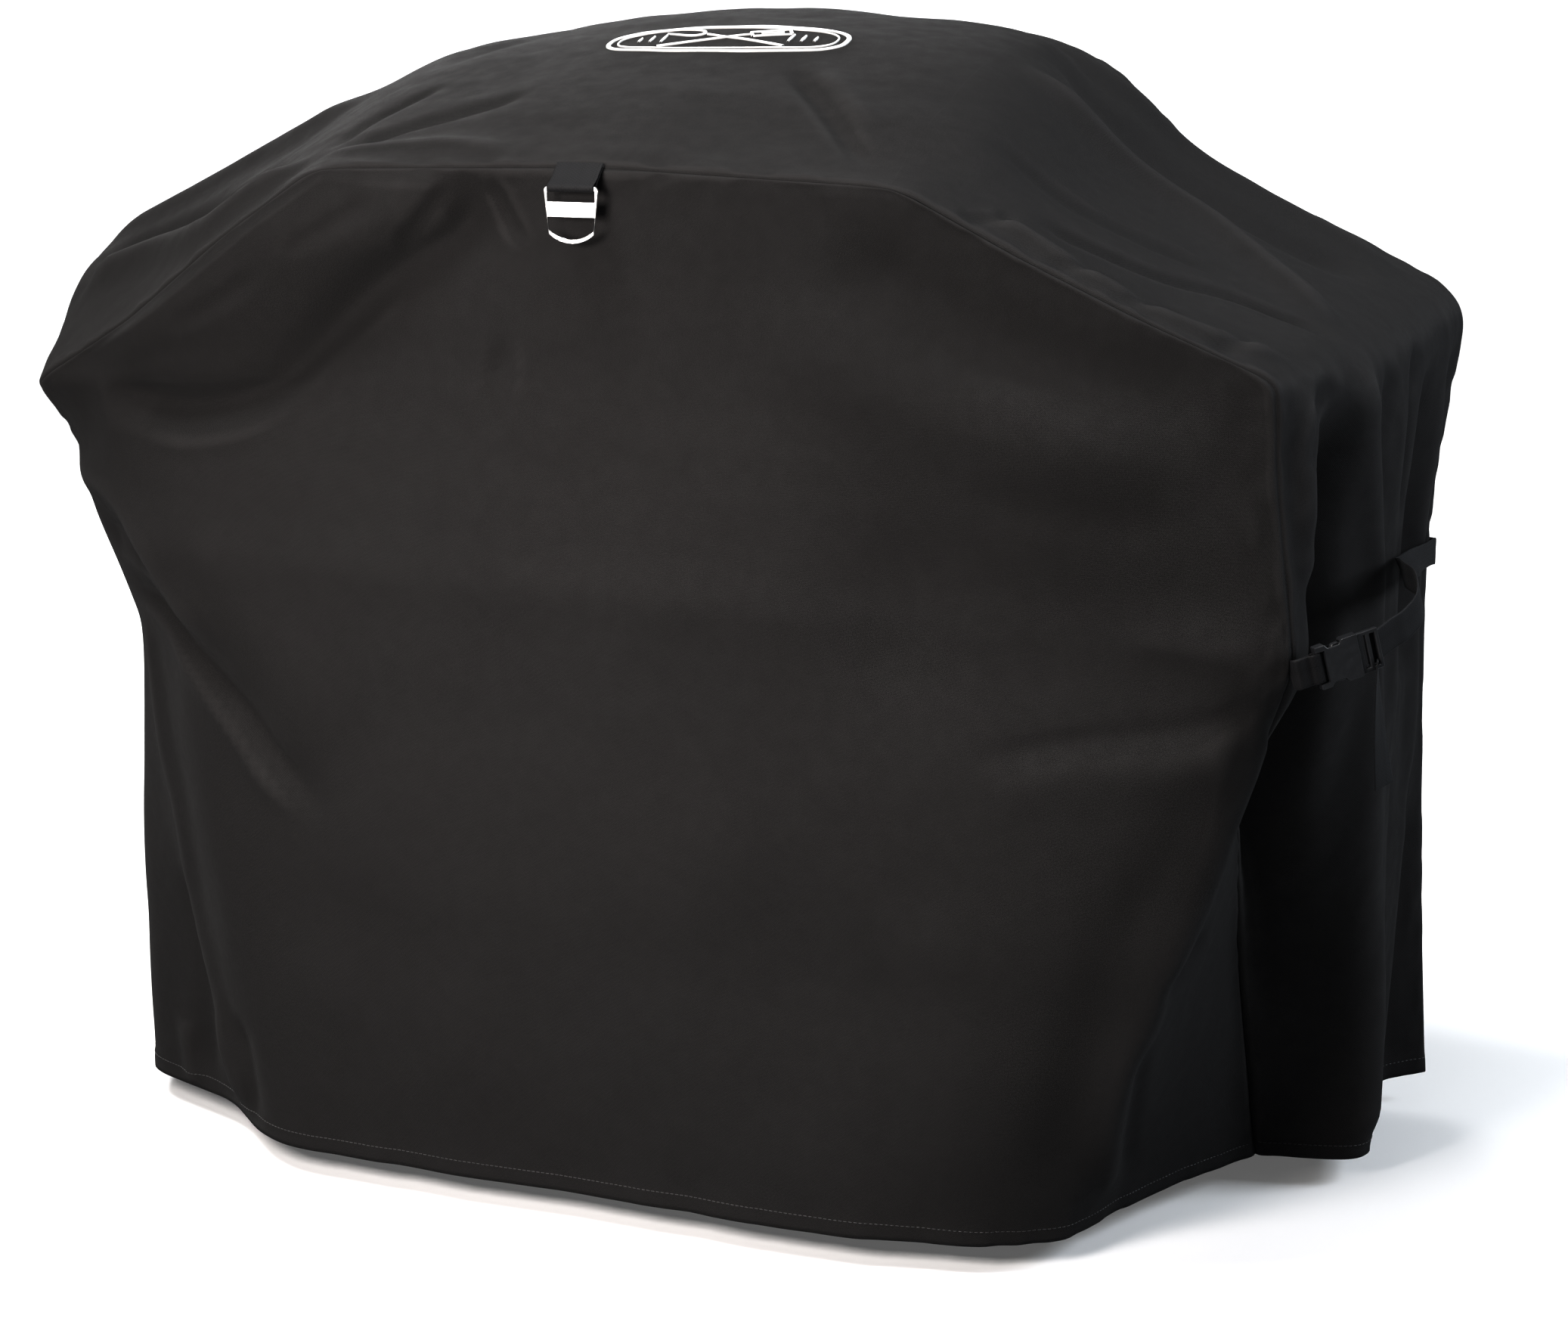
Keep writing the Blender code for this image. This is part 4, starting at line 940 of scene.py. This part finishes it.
# Rear webbing from the plug to the rear seam, and the direction of its width.
REAR_ROUTES = {
    "right": [
        ((656, -238, 559), (-0.20, -0.15, 0.97)), ((664, -224, 564), (-0.20, -0.10, 0.97)),
        ((670.5, -200, 574), (-0.45, -0.10, 0.88)), ((664, -172, 586), (-0.70, 0.10, 0.70)),
        ((648, -140, 588), (-0.60, 0.10, 0.78)), ((633, -50, 574), (-0.10, 0.10, 0.99)),
        ((626, 100, 556), (0.05, 0.00, 1.00)), ((618, 220, 540), (0.05, 0.00, 1.00)),
        ((612, 285, 529), (0.00, 0.00, 1.00)), ((604, 299, 527), (0.00, 0.00, 1.00)),
    ],
    "left": [((x, y, 480), (0.00, 0.00, 1.00)) for x, y in (
        (-621.5, 18), (-641, 65), (-654, 120), (-666, 195), (-666, 280), (-656, 299))],
}
TAIL_ALONG, TAIL_BEHIND, TAIL_BELOW = 0.0785, 0.0042, -0.0100
REAR_ALONG, REAR_BEHIND = (0.0700, 0.0780), 0.0029     # the rear webbing round the plug's bar


def frame_of(along, up, start):
    """Rotation with columns (along, up x along, up), and where it starts."""
    along, up = np.array(along, float), np.array(up, float)
    return np.stack([along, np.cross(up, along), up], axis=1), np.array(start)


def strap_frame(side):
    heading, rise = (math.radians(STRAPS[side][key]) for key in ("heading", "rise"))
    along = (math.cos(heading) * math.cos(rise), math.sin(heading) * math.cos(rise), math.sin(rise))
    up = (-math.cos(heading) * math.sin(rise), -math.sin(heading) * math.sin(rise), math.cos(rise))
    return frame_of(along, up, STRAPS[side]["start"])


def make_hang_tab(material):
    """Webbing folded round the ring's top bar, with both ends stitched into the hood's seam."""
    drop = math.radians(TAB_DROP)
    root = np.array(TAB_ROOT)
    away = np.array((0.0, -math.cos(drop), -math.sin(drop)))
    off = np.array((0.0, -math.sin(drop), math.cos(drop)))
    layer = [(TAB_GAP, TAB_ENDS), (TAB_GAP, 0.006), (TAB_GAP, TAB_LENGTH * 0.62)]
    bend = [(TAB_ROUND * math.sin(angle), TAB_LENGTH + TAB_ROUND * math.cos(angle))
            for angle in np.radians(np.linspace(100, -100, 9))]
    path = layer + bend + [(-rise, along) for rise, along in layer[::-1]]
    centres = [root + off * rise + away * along for rise, along in path]
    tab = woven_band("hang_tab_webbing", centres, [(1, 0, 0)] * 2, TAB_WIDTH, material, None,
                     thick=TAB_THICK, step=TAB_STEP, across_step=TAB_STEP)
    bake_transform(tab)
    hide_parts("hang_tab")


def make_front_strap(side, seam, material):
    """Webbing from the front seam, folded round the socket's bar and back."""
    turn, start = strap_frame(side)
    place = np.argmin(np.linalg.norm(seam - start, axis=1))
    layer, bar = 0.00105, 0.0030
    path = [(0.0080, layer), (0.0185, layer), (0.0222, bar), (0.0268, bar), (0.0292, 0.0021),
            (0.0299, 0.0)]
    path += [(x, -y) for x, y in path[-2::-1]]
    points = [start + turn @ np.array((x, y, 0.0)) for x, y in path]
    root = seam[place] + np.array((0.0, 0.0, start[2] - seam[place][2]))
    offset = turn[:, 1] * layer
    points = [root + offset] + points + [root - offset]
    name = f"{side}_front_webbing"
    strap = woven_band(name, points, [turn[:, 2]] * 2, WEBBING_WIDTH, material, "cover")
    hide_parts(f"{side}_front_strap")


def make_rear_strap(side, material):
    """Slack webbing from the plug to the rear seam."""
    turn, origin = strap_frame(side)
    behind = STRAPS[side]["inward"] * REAR_BEHIND
    centres = [origin + turn @ np.array((along, behind, 0.0)) for along in REAR_ALONG]
    centres += [np.array(centre) * MM for centre, _ in REAR_ROUTES[side]]
    widths = [turn[:, 2], turn[:, 2]] + [width for _, width in REAR_ROUTES[side]]
    name = f"{side}_rear_webbing"
    strap = woven_band(name, centres, widths, WEBBING_WIDTH, material, None, step=0.0010)
    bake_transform(strap)
    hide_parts(f"{side}_rear_strap")


def make_tail(side, material):
    """The webbing's free end, hanging behind the plug with a slight twist."""
    values = STRAPS[side]
    turn, start = strap_frame(side)
    pivot = start + turn @ np.array((TAIL_ALONG, values["inward"] * TAIL_BEHIND, TAIL_BELOW))
    heading = math.atan2(turn[1, 0], turn[0, 0])
    centres, widths = [], []
    for share in np.linspace(0, 1, 9):
        angle = heading + math.radians(values["turn"] + values["twist"] * share)
        drift = values["drift"] * share ** 1.5
        centres.append(pivot + np.array((drift[0], drift[1], -values["tail"] * share)))
        widths.append((math.cos(angle), math.sin(angle), -2.5 * max(0.0, share - 0.9)))
    tail = woven_band(f"{side}_tail_webbing", centres, widths, WEBBING_WIDTH, material, f"{side}_tail")
    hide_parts(f"{side}_strap_tail")


def make_seam_allowance(name, line, outward, replaced, material):
    """The two raw edges behind a seam, folded in and bound."""
    points = line[:, None] - outward[:, None] * ALLOWANCE[None, :, None]
    mesh = grid_mesh(name, points - SEAT, metric_uv(points))
    strip = new_piece(name, mesh, material, "cover")
    thicken(strip, TAPE, 0.0)
    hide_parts(replaced)


BADGE_MIDDLE = (8.92, 1.875)           # station and gusset column, as in the GUSSET table
BADGE_SCALE = (0.268, 0.152)           # metres from one station or column to the next there
BADGE_HALF = (0.108, 0.0400)
SATIN_STEP, SATIN_RISE, SATIN_BASE, SATIN_EDGE = 0.0008, 0.0010, 0.00045, -0.0002


def badge_point(stations, points, normals, u, v, rise):
    """A point on the hood: u to the right and v towards the back from the badge's middle."""
    row = np.interp(BADGE_MIDDLE[0] - np.asarray(u) / BADGE_SCALE[0], stations, np.arange(len(stations)))
    columns = spread(GUSSET_COLUMNS) * (len(GUSSET[0]) - 1)
    column = np.interp(BADGE_MIDDLE[1] + np.asarray(v) / BADGE_SCALE[1], columns, np.arange(len(columns)))
    i, j = np.floor(row).astype(int), np.floor(column).astype(int)
    a, b = (row - i)[..., None], (column - j)[..., None]

    def between(grid):
        return ((1 - a) * ((1 - b) * grid[i, j] + b * grid[i, j + 1])
                + a * ((1 - b) * grid[i + 1, j] + b * grid[i + 1, j + 1]))

    return between(points) + unit(between(normals)) * np.asarray(rise)[..., None]


def satin(hood, path, widths, closed=False):
    """Grid of one raised satin-stitched line on the hood, and its UV."""
    line, share = even_line(path, SATIN_STEP)
    run = np.gradient(line, axis=0)
    if closed:
        run[0] = run[-1] = line[1] - line[-2]
    sideways = unit(np.stack([-run[:, 1], run[:, 0]], axis=1))
    wide = np.interp(share, np.linspace(0, 1, len(widths)), widths)
    across = np.array([-1.0, -0.85, -0.5, 0.0, 0.5, 0.85, 1.0])
    rise = SATIN_RISE * np.sqrt(np.clip(1 - across ** 2, 0, 1)) + SATIN_BASE
    rise[0] = rise[-1] = SATIN_EDGE
    off = across[None] * wide[:, None] / 2
    spots = line[:, None] + sideways[:, None] * off[..., None]
    grid = badge_point(*hood, spots[..., 0], spots[..., 1], np.broadcast_to(rise, off.shape))
    return grid, np.stack(np.broadcast_arrays(arc_length(line)[:, None], off), axis=-1)


def oval(half_wide, half_deep, power=2.6):
    angles = np.linspace(0, 2 * math.pi, 65)
    circle = np.stack([np.cos(angles), np.sin(angles)], axis=1)
    return (half_wide, half_deep) * np.sign(circle) * np.abs(circle) ** (2 / power)


def turned(path, degrees):
    c, s = math.cos(math.radians(degrees)), math.sin(math.radians(degrees))
    return [(c * x - s * y, s * x + c * y) for x, y in path]


def badge_lines():
    """Plain oval badge with a crossed spatula and fork: (path, widths, closed)."""
    wide, deep = BADGE_HALF
    lines = [(oval(wide, deep), [0.0042], True), (oval(wide - 0.0085, deep - 0.0080), [0.0014], True)]
    spatula = [([(-0.062, 0.0), (0.022, 0.0)], [0.0036, 0.0024]),
               ([(0.022, -0.0075), (0.022, 0.0075)], [0.0030]),
               ([(0.022, -0.0075), (0.056, -0.0085)], [0.0026]),
               ([(0.022, 0.0075), (0.056, 0.0085)], [0.0026]),
               ([(0.056, -0.0085), (0.056, 0.0085)], [0.0030]),
               ([(0.030, 0.0), (0.050, 0.0)], [0.0020])]
    fork = [([(-0.062, 0.0), (0.022, 0.0)], [0.0036, 0.0024]),
            ([(0.060, 0.0085), (0.034, 0.0080), (0.026, 0.0), (0.034, -0.0080), (0.060, -0.0085)],
             [0.0016, 0.0026, 0.0030, 0.0026, 0.0016])]
    for tool, angle in ((spatula, 22), (fork, 158)):
        lines += [(turned(path, angle), widths, False) for path, widths in tool]
    for side in (-1, 1):
        for place in (0.058, 0.069, 0.080):
            half = 0.011 - (place - 0.058) * 0.22
            lines.append(([(side * place, -half), (side * place, half)], [0.0016, 0.0030, 0.0016], False))
    return lines


def make_badge(hood, material):
    """All satin lines of the embroidered badge in one piece."""
    verts, faces, coordinates = [], [], []
    for path, widths, closed in badge_lines():
        grid, uv = satin(hood, path, widths, closed)
        faces += (len(verts) + grid_quads(*grid.shape[:2])).tolist()
        verts += (grid - SEAT).reshape(-1, 3).tolist()
        coordinates += uv.reshape(-1, 2).tolist()
    mesh = smooth_mesh("hood_badge_threads", verts, faces, coordinates)
    badge = new_piece("hood_badge_threads", mesh, material, "cover")
    thicken(badge, THREAD, 0.0)
    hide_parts("hood_badge")


def hem_stitches(name, grid, outward, material):
    """A stitch row through the hem's turned-up band, along the bottom (first row) of one panel."""
    up = distance_along(grid, 0)
    line, out = [], []
    for column in range(2, grid.shape[1] - 2):
        row = np.interp(HEM_DEPTH - HEM_INSET, up[:, column], np.arange(len(up)))
        low = int(row)
        line.append(grid[low, column] * (1 - row + low) + grid[low + 1, column] * (row - low))
        out.append(outward[low, column])
    stitch_row(name, np.array(line), np.array(out), material)


# ---- stage ------------------------------------------------------------------------
EYE = (1.07454, -2.95830, 1.14215)
AZIMUTH, ELEVATION = 19.0, 12.72
LENS, SENSOR = 79.105, 36.0
FLOOR_HALF = 30.0
# Area lights: name, place, target, size, power, colour and spread.
AREA_LIGHTS = (
    ("front_softbox", (-0.14, -1.72, -0.02), (-0.12, -0.30, -0.68), (0.45, 0.45), 16.8,
     (1.0, 0.94, 0.91), 100.0),
    ("top_softbox", (0.16, -0.50, 1.50), (0.08, 0.0, 0.0), (1.1, 0.8), 35.5, (1.0, 1.0, 1.0), 180.0),
    ("side_fill", (2.60, 0.35, 0.70), (0.60, 0.0, -0.40), (1.0, 1.0), 62.0, (0.86, 0.92, 1.0), 180.0),
    ("rear_fill", (-1.80, 3.20, 0.90), (0.0, 0.3, -0.40), (2.0, 1.4), 80.0, (1.0, 1.0, 1.0), 180.0),
)


def make_camera():
    camera = bpy.data.objects.new("camera", bpy.data.cameras.new("camera"))
    bpy.context.scene.collection.objects.link(camera)
    camera.data.sensor_fit = "HORIZONTAL"
    camera.data.sensor_width = SENSOR
    camera.data.lens = LENS
    camera.data.clip_end = 60.0
    camera.location = Vector(EYE) - Vector(SEAT)
    camera.rotation_euler = (math.radians(90.0 - ELEVATION), 0.0, math.radians(AZIMUTH))
    bpy.context.scene.camera = camera


def area_light(name, location, target, size, power, colour, spread):
    light = bpy.data.lights.new(name, "AREA")
    light.shape = "RECTANGLE"
    light.size, light.size_y = size
    light.energy = power
    light.color = colour
    light.spread = math.radians(spread)
    obj = bpy.data.objects.new(name, light)
    bpy.context.scene.collection.objects.link(obj)
    obj.location = location
    obj.rotation_euler = (Vector(target) - Vector(location)).to_track_quat("-Z", "Y").to_euler()
    obj.visible_camera = False


def sun_light(name, towards, strength, angle):
    light = bpy.data.lights.new(name, "SUN")
    light.energy = strength
    light.angle = math.radians(angle)
    obj = bpy.data.objects.new(name, light)
    bpy.context.scene.collection.objects.link(obj)
    obj.rotation_euler = Vector(towards).to_track_quat("Z", "Y").to_euler()


def make_world(backdrop, ambient):
    """A white backdrop that gives only a little light of its own."""
    world = bpy.data.worlds.new("studio")
    world.use_nodes = True
    tree = world.node_tree
    background = tree.nodes["Background"]
    background.inputs["Color"].default_value = (1.0, 1.0, 1.0, 1.0)
    seen = tree.nodes.new("ShaderNodeLightPath").outputs["Is Camera Ray"]
    strength = tree.nodes.new("ShaderNodeMapRange")
    strength.inputs["To Min"].default_value = ambient
    strength.inputs["To Max"].default_value = backdrop
    tree.links.new(seen, strength.inputs["Value"])
    tree.links.new(strength.outputs["Result"], background.inputs["Strength"])
    bpy.context.scene.world = world


def make_floor():
    n = Nodes("studio_floor")
    place = n.place()
    shade = n.noise(place, 3.0, 2.0)
    colour = n.mix(shade, (0.80, 0.80, 0.80, 1), (0.84, 0.84, 0.84, 1))
    seen = n.add("ShaderNodeLightPath").outputs["Is Camera Ray"]
    n.fixed(Emission_Color=(1.0, 1.0, 1.0, 1.0))
    glow = n.ramp(n.vector_math("LENGTH", place), 3.0, 9.0, 0.16, 0.60)
    n.set(n.shader.inputs["Emission Strength"], n.math("MULTIPLY", seen, glow))
    colour = n.mix(seen, (0.20, 0.21, 0.22, 1), colour)
    n.finish(colour, 0.8, n.bump(shade, 0.0001, 0.1))
    z = -SEAT[2] - FLOOR_GAP
    mesh = bpy.data.meshes.new("studio_floor")
    corners = [(x * FLOOR_HALF, y * FLOOR_HALF, z) for x, y in ((-1, -1), (1, -1), (1, 1), (-1, 1))]
    mesh.from_pydata(corners, [], [(0, 1, 2, 3)])
    mesh.materials.append(n.material)
    floor = bpy.data.objects.new("studio_floor", mesh)
    bpy.context.scene.collection.objects.link(floor)


def make_stage():
    make_camera()
    make_floor()
    sun_light("daylight", (-0.48, -0.55, 1.70), 2.75, 14.0)
    for lamp in AREA_LIGHTS:
        area_light(*lamp)
    make_world(1.2, 0.10)
    bpy.context.scene.view_settings.view_transform = "Standard"
    bpy.context.scene.view_settings.gamma = 0.78


# ---- build -----------------------------------------------------------------------------
def make_cloth(parts, cloth):
    pieces = (
        ("gusset", (3.05, 0.62), ["front_cloth", "back_cloth"]),
        ("front", (1.40, 0.96), ["gusset_cloth"]),
        ("back", (1.40, 1.02), ["gusset_cloth"]),
    )
    for part, flat, rests_on in pieces:
        obj = sheet_piece(f"{part}_cloth", parts[part], INSIDE[part], cloth)
        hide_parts(f"{part}_panel")


def make_trim(parts):
    """Seam allowances, hem stitches and the badge."""
    tape = plain_tape()
    thread = thread_material("hem_thread", (0.017, 0.0165, 0.017, 1), (0.008, 0.008, 0.008, 1))
    white = thread_material("embroidery_thread", (0.84, 0.84, 0.82, 1), (0.56, 0.56, 0.55, 1))
    gusset, front, back = parts["gusset"], parts["front"], parts["back"]
    make_seam_allowance("front_seam_allowance", gusset[:, 0], parts["front_out"], "front_seam_tape", tape)
    make_seam_allowance("rear_seam_allowance", gusset[:, -1], parts["back_out"], "rear_seam_tape", tape)
    normals = normals_of(gusset, INSIDE["gusset"])
    half = gusset.shape[0] // 2
    hem_stitches("front_hem_stitches", front, normals_of(front, INSIDE["front"]), thread)
    hem_stitches("back_hem_stitches", back, normals_of(back, INSIDE["back"]), thread)
    hem_stitches("right_hem_stitches", gusset[:half], normals[:half], thread)
    hem_stitches("left_hem_stitches", gusset[half:][::-1], normals[half:][::-1], thread)
    make_badge((parts["stations"], gusset, normals), white)


def make_straps(parts):
    webbing, plastic = webbing_material(), buckle_plastic()
    make_hang_tab(webbing)
    for side in STRAPS:
        half = parts["gusset"].shape[0] // 2
        seam = parts["gusset"][:half, 0] if side == "right" else parts["gusset"][half:, 0]
        make_front_strap(side, seam, webbing)
        make_rear_strap(side, webbing)
        make_tail(side, webbing)
        for node in ("buckle_socket", "buckle_plug", "plug_arm_upper", "plug_arm_lower"):
            paint(f"{side}_{node}", plastic)
    paint("hang_ring", ring_metal())


def paint(node, material):
    """Give a CAD node its finished material."""
    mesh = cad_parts[node].data
    mesh.materials.clear()
    mesh.materials.append(material)


make_stage()
parts = make_panels()
make_cloth(parts, cover_fabric())
make_trim(parts)
make_straps(parts)
